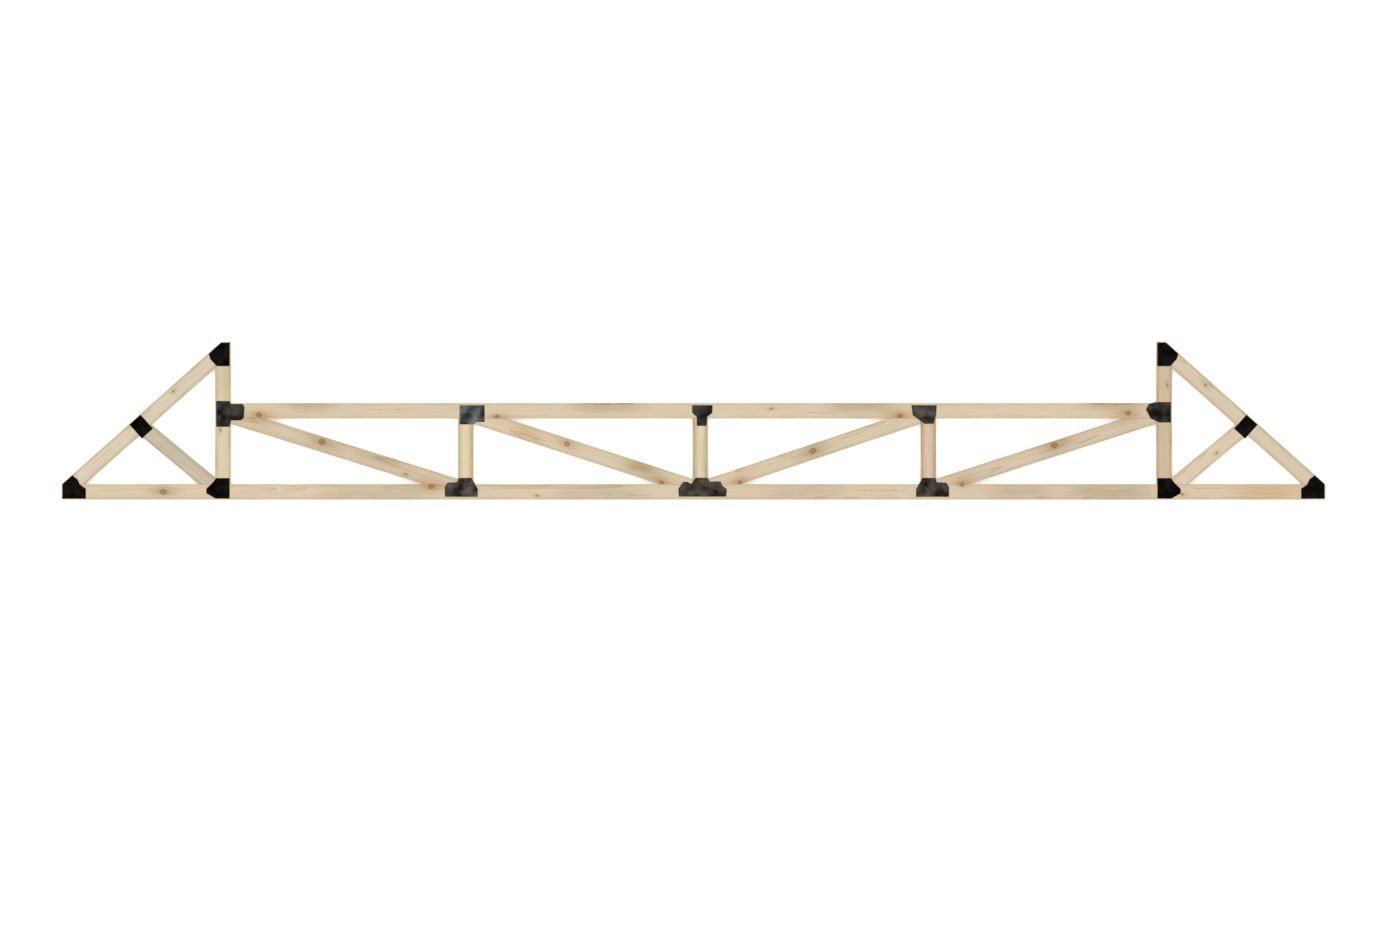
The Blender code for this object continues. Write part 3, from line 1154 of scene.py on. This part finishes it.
    def _stain_and_edge_shade(self, run: np.ndarray, off: np.ndarray) -> np.ndarray:
        """Works out how grey and how brown each point is, and how much painted shade darkens it near an
        arris.

        A stain is a flat-topped window along the board times exp(-(d / breadth)^2) across it. The third
        value, the painted edge shade, rises from 0, halfway from the centre line to the arris, to the board's
        own figure.

        Args:
            run: Places along the board.
            off: Offsets across it.

        Returns:
            The three values for each point, from 0 to 1.
        """
        longest_fade = 0.12
        stained = np.zeros((len(StainKind), *run.shape))
        for stain in self.look.stains:
            fade = min(longest_fade, (stain.end - stain.start) / 2.2)
            window = smoothstep(stain.start - fade, stain.start + fade, run)
            window *= 1 - smoothstep(stain.end - fade, stain.end + fade, run)
            here = stain.strength * window * np.exp(-(((off - stain.off) / stain.breadth) ** 2))
            stained[stain.kind.value] = np.maximum(stained[stain.kind.value], here)
        deep = self.layout.half_depth
        # painted shade towards the arrises, uneven along the board
        uneven = 0.8 + 0.2 * self._line(Line.HANDLING, run + 0.7 * np.sign(off), 0.25)
        edge_shade = self.look.edge_shade * uneven * smoothstep(deep * 0.45, deep * 0.97, np.abs(off))
        return np.stack((*stained, edge_shade), -1)

    def _grain(self, run: np.ndarray, off: np.ndarray, height: np.ndarray) -> np.ndarray:
        """Places each point in the log: along it, and across and through from its heart.

        Args:
            run: Places along the board.
            off: Offsets across it.
            height: Heights through it.

        Returns:
            The place of each point in its log.
        """
        heart_off = self.look.heart[0] + self.heart_wander * self._line(Line.HEART_ACROSS, run, 1.9)
        heart_off += self.heart_slope * run
        heart_height = self.look.heart[1] + self.heart_wander * self._line(Line.HEART_THROUGH, run, 1.4)
        return np.stack((run + self.log_spacing * self.seed, off - heart_off, height - heart_height), -1)

    def build(self, material: bpy.types.Material) -> bpy.types.Object:
        """Carries the section along the board and stores what the finish reads.

        The place along is a + u (b - a), where a and b are the two cuts at the point's offset across. The
        wide faces then sink by the planer's waves. They also sink by a dish exp(-d^2) at each knot, with d
        in knot radii.

        Args:
            material: The wood.

        Returns:
            The board.
        """
        drawn_off, drawn_height, folds = self._section()
        u, off = np.meshgrid(self._rows(), drawn_off, indexing="ij")
        at_end = (u == 0.0) | (u == 1.0)
        rub = np.where(at_end, self.rub, 0.0)
        deep, thick = self.layout.half_depth, self.layout.half_thickness
        off = off * (1 - rub / deep)
        height = drawn_height * (1 - rub / thick)
        a = np.interp(off, *self.layout.start.T)
        b = np.interp(off, *self.layout.end.T)
        run = a + u * (b - a)

        knots = self._knot_field(run, off)
        wave = self._line(Line.PLANING_WAVE, run, 0.33) + self._line(Line.SLOW_WAVE, run + 3 * off, 0.8)
        wave = 0.5 + 0.25 * wave
        dish = np.exp(-(np.hypot(knots[..., 0] / KNOT_LENGTH, knots[..., 1]) / knots[..., 2]) ** 2)
        sunk = self.planing_wave * np.clip(wave, 0, 1) + self.knot_dish * dish
        wide_face = np.abs(drawn_height) > thick - SAME_HEIGHT
        height = height - np.where(wide_face, np.sign(height) * sunk, 0.0)
        off, height, bare = self._wane(run, off, height)
        off, height, dark = self._cracks(run, off, height, np.broadcast_to(drawn_off, off.shape))

        points = self.layout.world(run, off, height).reshape(-1, 3)
        index, walls = tube_walls(*off.shape)
        faces = walls[:, ::-1].tolist()
        faces += self._caps(0, off.shape[1], folds, False)
        faces += self._caps(int(index[-1, 0]), off.shape[1], folds, True)
        board = mesh_object(self.node + "_board", points, faces, material)

        stored = {
            "grain": self._grain(run, off, height),
            "knot": knots,
            "wear": self._stain_and_edge_shade(run, off),
            "marks": np.stack((bare, dark, at_end.astype(float)), -1),
        }
        for name, values in stored.items():
            set_attribute(board, name, AttributeKind.FLOAT_VECTOR, values)
        tint = np.broadcast_to((*self.look.tint, 1.0), (len(points), 4))
        set_attribute(board, "tint", AttributeKind.FLOAT_COLOR, tint)
        return board


# ---- connector plates ----


class SlotRun(Enum):
    """Which way a plate's slots run, as an angle from the span."""

    LEVEL = 0.0
    UPRIGHT = math.pi / 2
    WITH_BOARD = -1.0


@dataclass
class ConnectorPlate:
    """A sheet with rows of slots, each with a tooth bent out of both its ends into the wood.

    Attributes:
        node: The CAD node that it stands for.
        angle: Direction of the slots, in radians from the span.
        pitch_along: Space between slots in a row.
        pitch_across: Space between rows. Each row is half a pitch on from the last.
        slot_length: Length of a slot.
        slot_width: Width of a slot.
        slot_corner: How much is cut off a slot's corners.
        border: Least steel between a slot and the outline.
        rollover: How far the punch or the shear rounds an edge.
        bend: Outside radius of a tooth's bend.
        bend_steps: Steps round the bend.
        tooth_depth: How far a tooth goes into the wood.
        tooth_thickness: Thickness of a tooth.
        tooth_root: How far its root reaches back into the sheet.
        tooth_gap: Space between a tooth's edge and the side of its slot.
        paint_and_shade_floor: Thickness of the dark floor that closes the slots: a coat of paint that also
            stands in for the shade deep in each slot.
    """

    node: str
    angle: float = 0.0
    pitch_along: float = 0.0254
    pitch_across: float = 0.00635
    slot_length: float = 0.0098
    slot_width: float = 0.0028
    slot_corner: float = 0.0006
    border: float = 0.0026
    rollover: float = 0.0003
    bend: float = 0.0047
    bend_steps: int = 4
    tooth_depth: float = 0.0090
    tooth_thickness: float = 0.0009
    tooth_root: float = 0.0006
    tooth_gap: float = 0.0001
    paint_and_shade_floor: float = 0.00015

    @property
    def _axes(self) -> np.ndarray:
        """The directions along the slots and across them, as two rows."""
        cosine, sine = math.cos(self.angle), math.sin(self.angle)
        return np.array([[cosine, sine], [-sine, cosine]])

    def _outline(self) -> tuple[np.ndarray, float, float]:
        """Reads the node's outline: the edges that only one triangle of its upper face has, end to end.

        Returns:
            The corners anticlockwise as (corner, x and y), and the heights of the outer and inner faces.
        """
        facets = Facets.of_node(self.node)
        upper = np.round(facets.corners[facets.normals[:, 2] > 0.9][..., :2], 5)
        triangles = [[tuple(corner) for corner in triangle] for triangle in upper.tolist()]
        edges = {edge for corners in triangles for edge in zip(corners, corners[1:] + corners[:1])}
        following = {start: end for start, end in edges if (end, start) not in edges}
        loop = [min(following)]
        while following[loop[-1]] != loop[0]:
            loop.append(following[loop[-1]])
        low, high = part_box(self.node)
        front = (low.z + high.z) / 2 > (CAD_BOX[0].z + CAD_BOX[1].z) / 2
        return np.array(loop), *((high.z, low.z) if front else (low.z, high.z))

    @staticmethod
    def _inset(loop: np.ndarray, by: float) -> np.ndarray:
        """Moves each side of a closed outline in, and meets the new sides at its corners.

        A corner moves by d (m + n) / (1 + m . n), where m and n are the inward normals of its two sides.

        Args:
            loop: The corners, anticlockwise.
            by: The distance d.

        Returns:
            The new corners.
        """
        before, after = loop - np.roll(loop, 1, 0), np.roll(loop, -1, 0) - loop
        before /= np.linalg.norm(before, axis=1)[:, None]
        after /= np.linalg.norm(after, axis=1)[:, None]
        first = np.stack((-before[:, 1], before[:, 0]), 1)
        second = np.stack((-after[:, 1], after[:, 0]), 1)
        share = by / (1 + (first * second).sum(1))
        return loop + (first + second) * share[:, None]

    @staticmethod
    def _contains(loop: np.ndarray, points: np.ndarray) -> np.ndarray:
        """Finds the points inside an outline. A level line from one crosses an odd number of its sides.

        Args:
            loop: The outline's corners.
            points: The points, as (point, x and y).

        Returns:
            True for each point inside.
        """
        start, end = loop, np.roll(loop, -1, 0)
        x, y = points[:, :1], points[:, 1:]
        spans = (start[:, 1] > y) != (end[:, 1] > y)
        rise = np.where(start[:, 1] == end[:, 1], TINY, end[:, 1] - start[:, 1])
        meets = start[:, 0] + (y - start[:, 1]) / rise * (end[:, 0] - start[:, 0])
        return (spans & (x < meets)).sum(1) % 2 == 1

    def _slot_centres(self, loop: np.ndarray) -> np.ndarray:
        """Lays out the rows of slots and keeps each slot that is inside the plate, with the border round it.

        Args:
            loop: The plate's outline.

        Returns:
            Their centres, as (slot, x and y).
        """
        along, across = self._axes
        middle = (loop.max(0) + loop.min(0)) / 2
        reach = float(np.ptp(loop, axis=0).max())
        most_rows, most_places = math.ceil(reach / self.pitch_across), math.ceil(reach / self.pitch_along)
        row, place = np.mgrid[-most_rows : most_rows + 1, -most_places : most_places + 1]
        run = (place + (row % 2) * 0.5 + 0.25) * self.pitch_along
        centres = middle + run[..., None] * along + row[..., None] * self.pitch_across * across
        centres = centres.reshape(-1, 2)
        to_end = (self.slot_length / 2 + self.border) * along
        to_side = (self.slot_width / 2 + self.border) * across
        inside = np.ones(len(centres), bool)
        for side in (-1, 1):
            for end in (-1, 0, 1):
                inside &= self._contains(loop, centres + side * to_side + end * to_end)
        return centres[inside]

    def _slot_loop(self, grow: float) -> np.ndarray:
        """Draws a slot's outline about its centre: a rectangle with its corners cut off.

        Args:
            grow: How much wider and longer it is on each side.

        Returns:
            The corners clockwise as (corner, x and y), turned to the slots' direction.
        """
        long, wide, cut = self.slot_length / 2 + grow, self.slot_width / 2 + grow, self.slot_corner
        quarter = np.array([(long, wide - cut), (long - cut, wide)])
        corners = np.concatenate((quarter, quarter[::-1] * (-1, 1), -quarter, quarter[::-1] * (1, -1)))
        return corners[::-1] @ self._axes

    def _tooth_rings(self) -> tuple[np.ndarray, np.ndarray, np.ndarray]:
        """Draws one tooth: rectangles square to a line that turns down a quarter circle and runs to a point.

        Returns:
            How far each corner is along from the end of the slot, how deep below the middle of the sheet, and
            how far across, all as (ring, corner).
        """
        turn = np.linspace(0, math.pi / 2, self.bend_steps + 1)
        radius = self.bend - self.tooth_thickness / 2
        run = np.concatenate(([-self.tooth_root], radius * np.sin(turn), [radius, radius]))
        point = [self.tooth_depth * 0.6, self.tooth_depth]
        depth = np.concatenate(([0.0], radius * (1 - np.cos(turn)), point))
        facing = np.concatenate(([0.0], turn, [math.pi / 2] * 2))[:, None]
        width = np.concatenate((np.ones(len(turn) + 1), [0.72, 0.12]))
        width *= self.slot_width / 2 - self.tooth_gap
        side, face = np.array([(-1, 1), (1, 1), (1, -1), (-1, -1)], float).T
        half = self.tooth_thickness / 2
        ring_run = run[:, None] + np.sin(facing) * face * half
        ring_depth = depth[:, None] - np.cos(facing) * face * half
        return ring_run, ring_depth, width[:, None] * side

    def _teeth(self, centres: np.ndarray, outer: float, inner: float) -> tuple[np.ndarray, np.ndarray]:
        """Sets a tooth at both ends of every slot.

        Args:
            centres: The slots' centres.
            outer: Height of the plate's outer face.
            inner: Height of its inner face.

        Returns:
            The points of all teeth, and their faces.
        """
        down = np.sign(inner - outer)
        along, across = self._axes
        run, depth, off = self._tooth_rings()
        height = outer + down * (abs(inner - outer) / 2 + depth)
        index, shell = tube_walls(*run.shape)
        shell = np.concatenate((shell, index[:1, ::-1], index[-1:]))
        slots = np.column_stack((centres, np.zeros(len(centres))))
        points, faces = [], []
        for number, end in enumerate((-1, 1)):
            flat = end * (run - self.slot_length / 2)[..., None] * along + off[..., None] * across
            tooth = np.concatenate((flat, height[..., None]), -1).reshape(-1, 3)
            quads = shell if end * down > 0 else shell[:, ::-1]
            first = (number * len(centres) + np.arange(len(centres))) * index.size
            points.append((tooth + slots[:, None]).reshape(-1, 3))
            faces.append((quads + first[:, None, None]).reshape(-1, 4))
        return np.concatenate(points), np.concatenate(faces)

    def _sheet(self, loop: np.ndarray, centres: np.ndarray, outer: float, inner: float) -> tuple:
        """Cuts the sheet and its slots.

        The outer face is the outline filled with triangles, less the slots. Its edges are drawn back by the
        rollover, and a sloping band joins each to its wall. The slots end at a dark floor just above the
        inner face, a coat of paint that also stands in for the shade deep in each slot.

        Args:
            loop: The plate's outline.
            centres: The slots' centres.
            outer: Height of the plate's outer face.
            inner: Height of its inner face.

        Returns:
            The points in three equal levels from the outer face down, and the faces as lists.
        """
        down = np.sign(inner - outer)
        slot_wide, slot_exact = self._slot_loop(self.rollover), self._slot_loop(0.0)
        rim = [self._inset(loop, self.rollover)] + [centre + slot_wide for centre in centres]
        wall = [loop] + [centre + slot_exact for centre in centres]
        sizes = [len(ring) for ring in rim]
        starts = [sum(sizes[:number]) for number in range(len(sizes))]
        rings = [list(range(start, start + size)) for start, size in zip(starts, sizes)]
        flat, full = np.concatenate(rim), np.concatenate(wall)
        _, _, filled, sources, _, _ = delaunay_2d_cdt([Vector(point) for point in flat], [], rings, 2, 1e-7)
        original = np.array([source[0] for source in sources])
        triangles = original[np.array([face for face in filled if len(face) == 3])]

        total = len(flat)
        here = np.arange(total)
        after = np.concatenate([np.roll(ring, -1) for ring in rings])
        # the slots close at a dark floor, paint that also stands in for the shade deep in each slot
        foot = np.where(here < len(loop), inner, inner - down * self.paint_and_shade_floor)
        levels = (np.full(total, outer), np.full(total, outer + down * self.rollover), foot)
        points = np.concatenate([np.column_stack((xy, z)) for xy, z in zip((flat, full, full), levels)])
        band = np.stack((here, after, after + total, here + total), -1)
        walls = np.concatenate((band, band + total))
        closing = [[vertex + 2 * total for vertex in ring] for ring in rings]
        if outer > inner:
            walls = walls[:, ::-1]
            closing = [ring[::-1] for ring in closing]
        else:
            triangles = triangles[:, ::-1]
        return points, triangles.tolist() + closing + walls.tolist()

    def build(self, material: bpy.types.Material) -> bpy.types.Object:
        """Joins the sheet and its teeth into one piece, and stores where its rims are worn.

        Args:
            material: The steel.

        Returns:
            The plate.
        """
        loop, outer, inner = self._outline()
        centres = self._slot_centres(loop)
        sheet, faces = self._sheet(loop, centres, outer, inner)
        teeth, tooth_faces = self._teeth(centres, outer, inner)
        faces += (tooth_faces + len(sheet)).tolist()
        plate = mesh_object(self.node + "_sheet", np.concatenate((sheet, teeth)), faces, material)
        level = len(sheet) // 3
        worn = np.zeros(len(sheet) + len(teeth))
        worn[level : 2 * level] = 1.0
        set_attribute(plate, "rim", AttributeKind.FLOAT, worn)
        return plate


# ---- the truss ----


class PlateTone(Enum):
    """How dark a joint's plates are. Each tone is a lighter or darker copy of the one steel, painting the
    sheen that differs from joint to joint.
    """

    BLACK = SteelFinish(
        "black_plate_steel", (0.0027, 0.0025, 0.0021), (0.0076, 0.0072, 0.0062), (0.085, 0.084, 0.080)
    )
    DARK = SteelFinish(
        "dark_plate_steel", (0.0190, 0.0183, 0.0142), (0.041, 0.0395, 0.032), (0.12, 0.115, 0.11)
    )
    OLIVE = SteelFinish(
        "olive_plate_steel", (0.034, 0.032, 0.024), (0.068, 0.065, 0.051), (0.15, 0.145, 0.13)
    )
    UMBER = SteelFinish("umber_plate_steel", (0.031, 0.025, 0.019), (0.061, 0.051, 0.041), (0.14, 0.13, 0.12))
    PLUM = SteelFinish("plum_plate_steel", (0.043, 0.034, 0.029), (0.086, 0.070, 0.062), (0.17, 0.15, 0.14))
    SLATE = SteelFinish("slate_plate_steel", (0.068, 0.071, 0.072), (0.136, 0.142, 0.144), (0.22, 0.22, 0.22))


@dataclass
class TrussBoards:
    """All the boards of the truss.

    Attributes:
        looks: What each board looks like, by its CAD node.
        finish: The wood that they are all of.
        first_seed: The first board's seed.
        seed_step: How much each further board's seed goes up by, so that no two share a line.
    """

    looks: dict[str, BoardLook]
    finish: SoftwoodFinish = field(default_factory=SoftwoodFinish)
    first_seed: int = 11
    seed_step: int = 7

    def build(self) -> list[bpy.types.Object]:
        """Builds each board over its CAD node and sets it on the body.

        Returns:
            The boards.
        """
        wood = self.finish.make()
        boards = []
        for number, (node, look) in enumerate(self.looks.items()):
            board = Board(node, look, seed=self.first_seed + self.seed_step * number).build(wood)
            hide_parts(node)
            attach(board, BODY)
            LOG.info("board %s: %d faces", board.name, len(board.data.polygons))
            boards.append(board)
        return boards


@dataclass
class TrussPlates:
    """The pairs of connector plates at the joints.

    Attributes:
        tones: How dark each joint's plates are, in copies of one steel that paint each joint's sheen.
        runs: Which way each joint's slots run, where it isn't level.
    """

    tones: dict[str, PlateTone]
    runs: dict[str, SlotRun]

    def _angle(self, joint: str) -> float:
        """Finds the slots' direction at a joint, which on the mansard is that of its chord.

        Args:
            joint: The joint's name.

        Returns:
            The angle from the span, in radians.
        """
        run = self.runs.get(joint, SlotRun.LEVEL)
        if run is not SlotRun.WITH_BOARD:
            return run.value
        along = BoardLayout.of_node(joint.replace("mansard", "mansard_chord")).along
        return math.atan2(along[1], along[0])

    def build(self) -> list[bpy.types.Object]:
        """Builds the plates of both faces at each joint.

        Returns:
            The plates.
        """
        steels = {tone: tone.value.make() for tone in PlateTone}
        plates = []
        for joint, tone in self.tones.items():
            for face in ("front", "back"):
                node = f"{joint}_plate_{face}"
                plate = ConnectorPlate(node, self._angle(joint)).build(steels[tone])
                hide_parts(node)
                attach(plate, BODY)
                LOG.info("plate %s: %d faces", plate.name, len(plate.data.polygons))
                plates.append(plate)
        return plates


RESIN = StainKind.RESIN
BOARD_LOOKS: dict[str, BoardLook] = {
    "bottom_chord_left": BoardLook(
        heart=(0.020, -0.055), tint=(1.02, 1.04, 1.08), edge_shade=0.5,
        knots=(Knot(-1.258, 0.000, 0.015), Knot(0.290, 0.030, 0.012), Knot(0.905, -0.022, 0.006)),
        stains=(
            Stain(-0.324, 0.284, 0.000, 0.06, 0.60), Stain(1.036, 1.499, 0.0, 0.06, 0.60),
            Stain(-1.35, -1.17, 0.0, 0.025, 0.5), Stain(0.22, 0.40, 0.035, 0.03, 0.8, RESIN),
        ),
        checks=(Check(-0.75, -0.42, 0.016), Check(1.25, 1.62, -0.018)),
    ),
    "bottom_chord_right": BoardLook(
        heart=(-0.035, -0.045), tint=(1.01, 1.03, 1.08), edge_shade=0.5,
        knots=(Knot(-0.294, 0.038, 0.009), Knot(0.98, -0.015, 0.007)),
        stains=(
            Stain(-1.405, -1.000, 0.0, 0.06, 0.5), Stain(-0.132, 0.215, 0.0, 0.06, 0.75),
            Stain(0.33, 0.78, 0.0, 0.06, 0.95), Stain(1.286, 1.633, 0.0, 0.06, 0.75, RESIN),
        ),
        checks=(Check(-0.95, -0.60, 0.010), Check(1.02, 1.24, 0.02)),
    ),
    "top_chord": BoardLook(
        heart=(-0.110, -0.030), tint=(1.02, 1.05, 1.09), edge_shade=0.45,
        knots=(
            Knot(-2.515, -0.024, 0.013), Knot(-1.137, -0.034, 0.010), Knot(1.195, -0.030, 0.012),
            Knot(2.515, -0.014, 0.013), Knot(0.45, 0.012, 0.006),
        ),
        stains=(
            Stain(-2.335, -2.104, 0.035, 0.042, 1.0), Stain(-0.686, -0.310, 0.025, 0.040, 0.85),
            Stain(0.800, 1.137, 0.030, 0.045, 1.0), Stain(2.266, 2.584, 0.035, 0.036, 1.0),
            Stain(-2.60, -2.42, -0.030, 0.030, 0.9, RESIN), Stain(1.10, 1.28, -0.020, 0.035, 0.9, RESIN),
            Stain(2.40, 2.60, -0.020, 0.035, 0.7, RESIN), Stain(-1.20, -1.05, -0.035, 0.025, 0.6, RESIN),
        ),
        wanes=(Wane(-0.72, -0.28, 1, 0.009), Wane(2.24, 2.60, 1, 0.010)),
        checks=(Check(-1.95, -1.62, 0.006), Check(0.62, 0.86, -0.012)),
    ),
    # On each upright the two grey stretches along its edges are painted shade, darker towards the edges.
    "upright_web_1": BoardLook(
        heart=(0.080, -0.050), tint=(1.10, 1.16, 1.14),
        stains=(Stain(-0.30, 0.30, 0.035, 0.014, 0.5), Stain(-0.30, 0.30, -0.035, 0.014, 0.9)),
    ),
    "upright_web_2": BoardLook(
        heart=(-0.020, -0.070), tint=(1.05, 1.13, 1.18),
        stains=(Stain(-0.30, 0.30, 0.033, 0.016, 1.0), Stain(-0.30, 0.30, -0.035, 0.014, 0.9)),
    ),
    "upright_web_3": BoardLook(
        heart=(0.010, 0.065), tint=(1.02, 0.97, 1.03),
        stains=(Stain(-0.30, 0.30, 0.035, 0.014, 0.8), Stain(-0.30, 0.30, -0.035, 0.014, 0.9)),
    ),
    # Each diagonal is stained darker brown near its ends, where it meets the chords.
    "diagonal_web_1": BoardLook(
        heart=(0.015, -0.050), tint=(0.96, 0.97, 1.01), edge_shade=0.6,
        knots=(Knot(-0.1385, 0.0128, 0.016), Knot(0.38, -0.020, 0.006)),
        stains=(
            Stain(-0.24, 0.00, 0.012, 0.03, 0.7), Stain(0.06, 0.34, 0.018, 0.03, 0.8),
            Stain(-0.62, -0.46, 0.030, 0.04, 0.8, RESIN), Stain(0.46, 0.62, -0.025, 0.03, 0.9, RESIN),
        ),
    ),
    "diagonal_web_2": BoardLook(
        heart=(-0.022, -0.052), tint=(1.00, 1.02, 1.07), edge_shade=0.6,
        knots=(Knot(-0.1006, 0.0121, 0.014), Knot(0.49, -0.032, 0.011)),
        stains=(
            Stain(0.26, 0.46, 0.010, 0.04, 1.0), Stain(-0.42, -0.28, 0.000, 0.04, 0.8, RESIN),
            Stain(0.28, 0.40, 0.014, 0.028, 1.0, RESIN), Stain(0.42, 0.56, -0.025, 0.03, 0.9, RESIN),
        ),
        checks=(Check(-0.40, -0.20, -0.012),),
    ),
    "diagonal_web_3": BoardLook(
        heart=(0.030, -0.050), tint=(0.99, 1.02, 1.09), edge_shade=0.6,
        knots=(Knot(-0.0065, 0.004, 0.016), Knot(-0.465, -0.034, 0.010)),
        stains=(Stain(-0.12, 0.08, 0.0, 0.04, 0.6), Stain(-0.54, -0.40, -0.02, 0.03, 0.9, RESIN)),
        checks=(Check(0.12, 0.34, 0.016),),
    ),
    "diagonal_web_4": BoardLook(
        heart=(-0.012, -0.055), tint=(0.96, 0.97, 1.04), edge_shade=0.6,
        knots=(Knot(0.0553, 0.018, 0.016), Knot(-0.522, -0.033, 0.011)),
        stains=(
            Stain(-0.02, 0.18, 0.012, 0.035, 0.8), Stain(-0.58, -0.44, -0.02, 0.035, 0.9, RESIN),
            Stain(0.44, 0.60, 0.030, 0.035, 0.7, RESIN),
        ),
    ),
    "parapet_post_left": BoardLook(
        heart=(0.090, -0.030), tint=(1.03, 1.12, 1.09), knots=(Knot(-0.10, 0.014, 0.006),),
        stains=(Stain(0.08, 0.30, -0.02, 0.06, 0.5),),
    ),
    "parapet_post_right": BoardLook(
        heart=(-0.060, -0.050), tint=(0.90, 0.88, 0.86), knots=(Knot(0.16, -0.018, 0.006),),
    ),
    "mansard_chord_left": BoardLook(
        heart=(0.012, -0.062), tint=(1.00, 1.09, 1.22), knots=(Knot(0.24, 0.014, 0.006),),
        checks=(Check(-0.42, -0.20, 0.012),),
    ),
    "mansard_chord_right": BoardLook(
        heart=(0.040, -0.050), tint=(0.98, 1.03, 1.11), knots=(Knot(-0.30, 0.010, 0.007),),
    ),
    "mansard_web_left": BoardLook(heart=(-0.030, -0.060), tint=(0.83, 0.90, 1.01)),
    "mansard_web_right": BoardLook(
        heart=(0.028, -0.046), tint=(1.05, 1.08, 1.19), knots=(Knot(0.05, -0.012, 0.006),),
    ),
}

# Lighter and darker copies of one steel: the tones paint the sheen that each joint shows.
PLATE_TONES: dict[str, PlateTone] = {
    "heel_left": PlateTone.BLACK, "heel_right": PlateTone.BLACK,
    "mansard_left": PlateTone.BLACK, "mansard_right": PlateTone.BLACK,
    "parapet_peak_left": PlateTone.BLACK, "parapet_peak_right": PlateTone.BLACK,
    "bearing_left": PlateTone.BLACK, "bearing_right": PlateTone.BLACK,
    "post_top_chord_left": PlateTone.DARK, "post_top_chord_right": PlateTone.DARK,
    "top_1": PlateTone.SLATE, "top_2": PlateTone.DARK, "top_3": PlateTone.OLIVE,
    "bottom_1": PlateTone.PLUM, "bottom_2": PlateTone.UMBER, "bottom_3": PlateTone.PLUM,
}

PLATE_RUNS: dict[str, SlotRun] = {
    "parapet_peak_left": SlotRun.UPRIGHT, "parapet_peak_right": SlotRun.UPRIGHT,
    "bearing_left": SlotRun.UPRIGHT, "bearing_right": SlotRun.UPRIGHT,
    "mansard_left": SlotRun.WITH_BOARD, "mansard_right": SlotRun.WITH_BOARD,
}


# ---- what the truss lies on, and how it is seen ----


@dataclass
class Studio:
    """A pale floor, a soft white surround and a long lens straight above.

    Attributes:
        floor_reach: Half the floor's width.
        floor_colour: Its colour.
        glow: How much of the floor's brightness it gives off itself, which keeps the shadows on it faint.
        surround: Strength of the white surround.
        lamp: Strength of the soft lamp.
        distance: Height of the camera above the truss.
        view_width: Width of what it sees.
        centre: What it looks at.
        gap: How far the floor lies below the lower plates.
        lamp_angle: How wide the lamp looks, which softens its shadows.
        lamp_from: Which way the lamp lies.
    """

    floor_reach: float = 150.0
    floor_colour: Colour = (0.82, 0.82, 0.815)
    glow: float = 0.42
    surround: float = 0.90
    lamp: float = 0.55
    distance: float = 45.0
    view_width: float = 8.102
    centre: Point = (0.0376, -0.266)
    gap: float = 0.0005
    lamp_angle: float = math.radians(40)
    lamp_from: tuple[float, float, float] = (-0.35, 0.45, 1.0)

    def build(self) -> None:
        """Makes the floor, the light and the camera."""
        self._floor()
        self._light()
        self._camera()

    def _floor(self) -> None:
        """A level sheet under the lower plates."""
        r = self.floor_reach
        corners = np.array([(-r, -r, 0.0), (r, -r, 0.0), (r, r, 0.0), (-r, r, 0.0)])
        corners[:, 2] = CAD_BOX[0].z - self.gap
        g = Graph("pale_floor")
        g.shader.inputs["Base Color"].default_value = (*self.floor_colour, 1.0)
        g.shader.inputs["Roughness"].default_value = 0.9
        g.shader.inputs["Specular IOR Level"].default_value = 0.1
        g.shader.inputs["Emission Color"].default_value = (1.0, 1.0, 0.995, 1.0)
        g.shader.inputs["Emission Strength"].default_value = self.glow
        mesh_object("floor", corners, [[0, 1, 2, 3]], g.material)

    def _light(self) -> None:
        """A white surround and a wide sun, a little to the upper left."""
        world = bpy.data.worlds.new("soft_white")
        bpy.context.scene.world = world
        world.use_nodes = True
        background = world.node_tree.nodes["Background"]
        background.inputs["Color"].default_value = (1.0, 1.0, 1.0, 1.0)
        background.inputs["Strength"].default_value = self.surround
        lamp = bpy.data.lights.new("soft_lamp", "SUN")
        lamp.energy = self.lamp
        lamp.angle = self.lamp_angle
        holder = bpy.data.objects.new("soft_lamp", lamp)
        holder.rotation_euler = Vector(self.lamp_from).to_track_quat("Z", "Y").to_euler()
        bpy.context.collection.objects.link(holder)

    def _camera(self) -> None:
        """A camera straight above, with the truss's top towards the top of the picture."""
        camera = bpy.data.cameras.new("camera")
        camera.sensor_width = 36.0
        camera.lens = camera.sensor_width * self.distance / self.view_width
        camera.clip_start, camera.clip_end = 0.5, self.distance * 4
        holder = bpy.data.objects.new("camera", camera)
        holder.location = (*self.centre, CAD_BOX[1].z + self.distance)
        bpy.context.collection.objects.link(holder)
        bpy.context.scene.camera = holder
        bpy.context.scene.view_settings.view_transform = "Standard"


def main() -> None:
    """Builds the truss, its boards before its plates, then the studio."""
    logging.basicConfig(level=logging.INFO, format="%(name)s: %(message)s")
    boards = TrussBoards(looks=BOARD_LOOKS).build()
    plates = TrussPlates(tones=PLATE_TONES, runs=PLATE_RUNS).build()
    LOG.info("%d boards and %d plates", len(boards), len(plates))
    Studio().build()


if __name__ == "__main__":
    main()
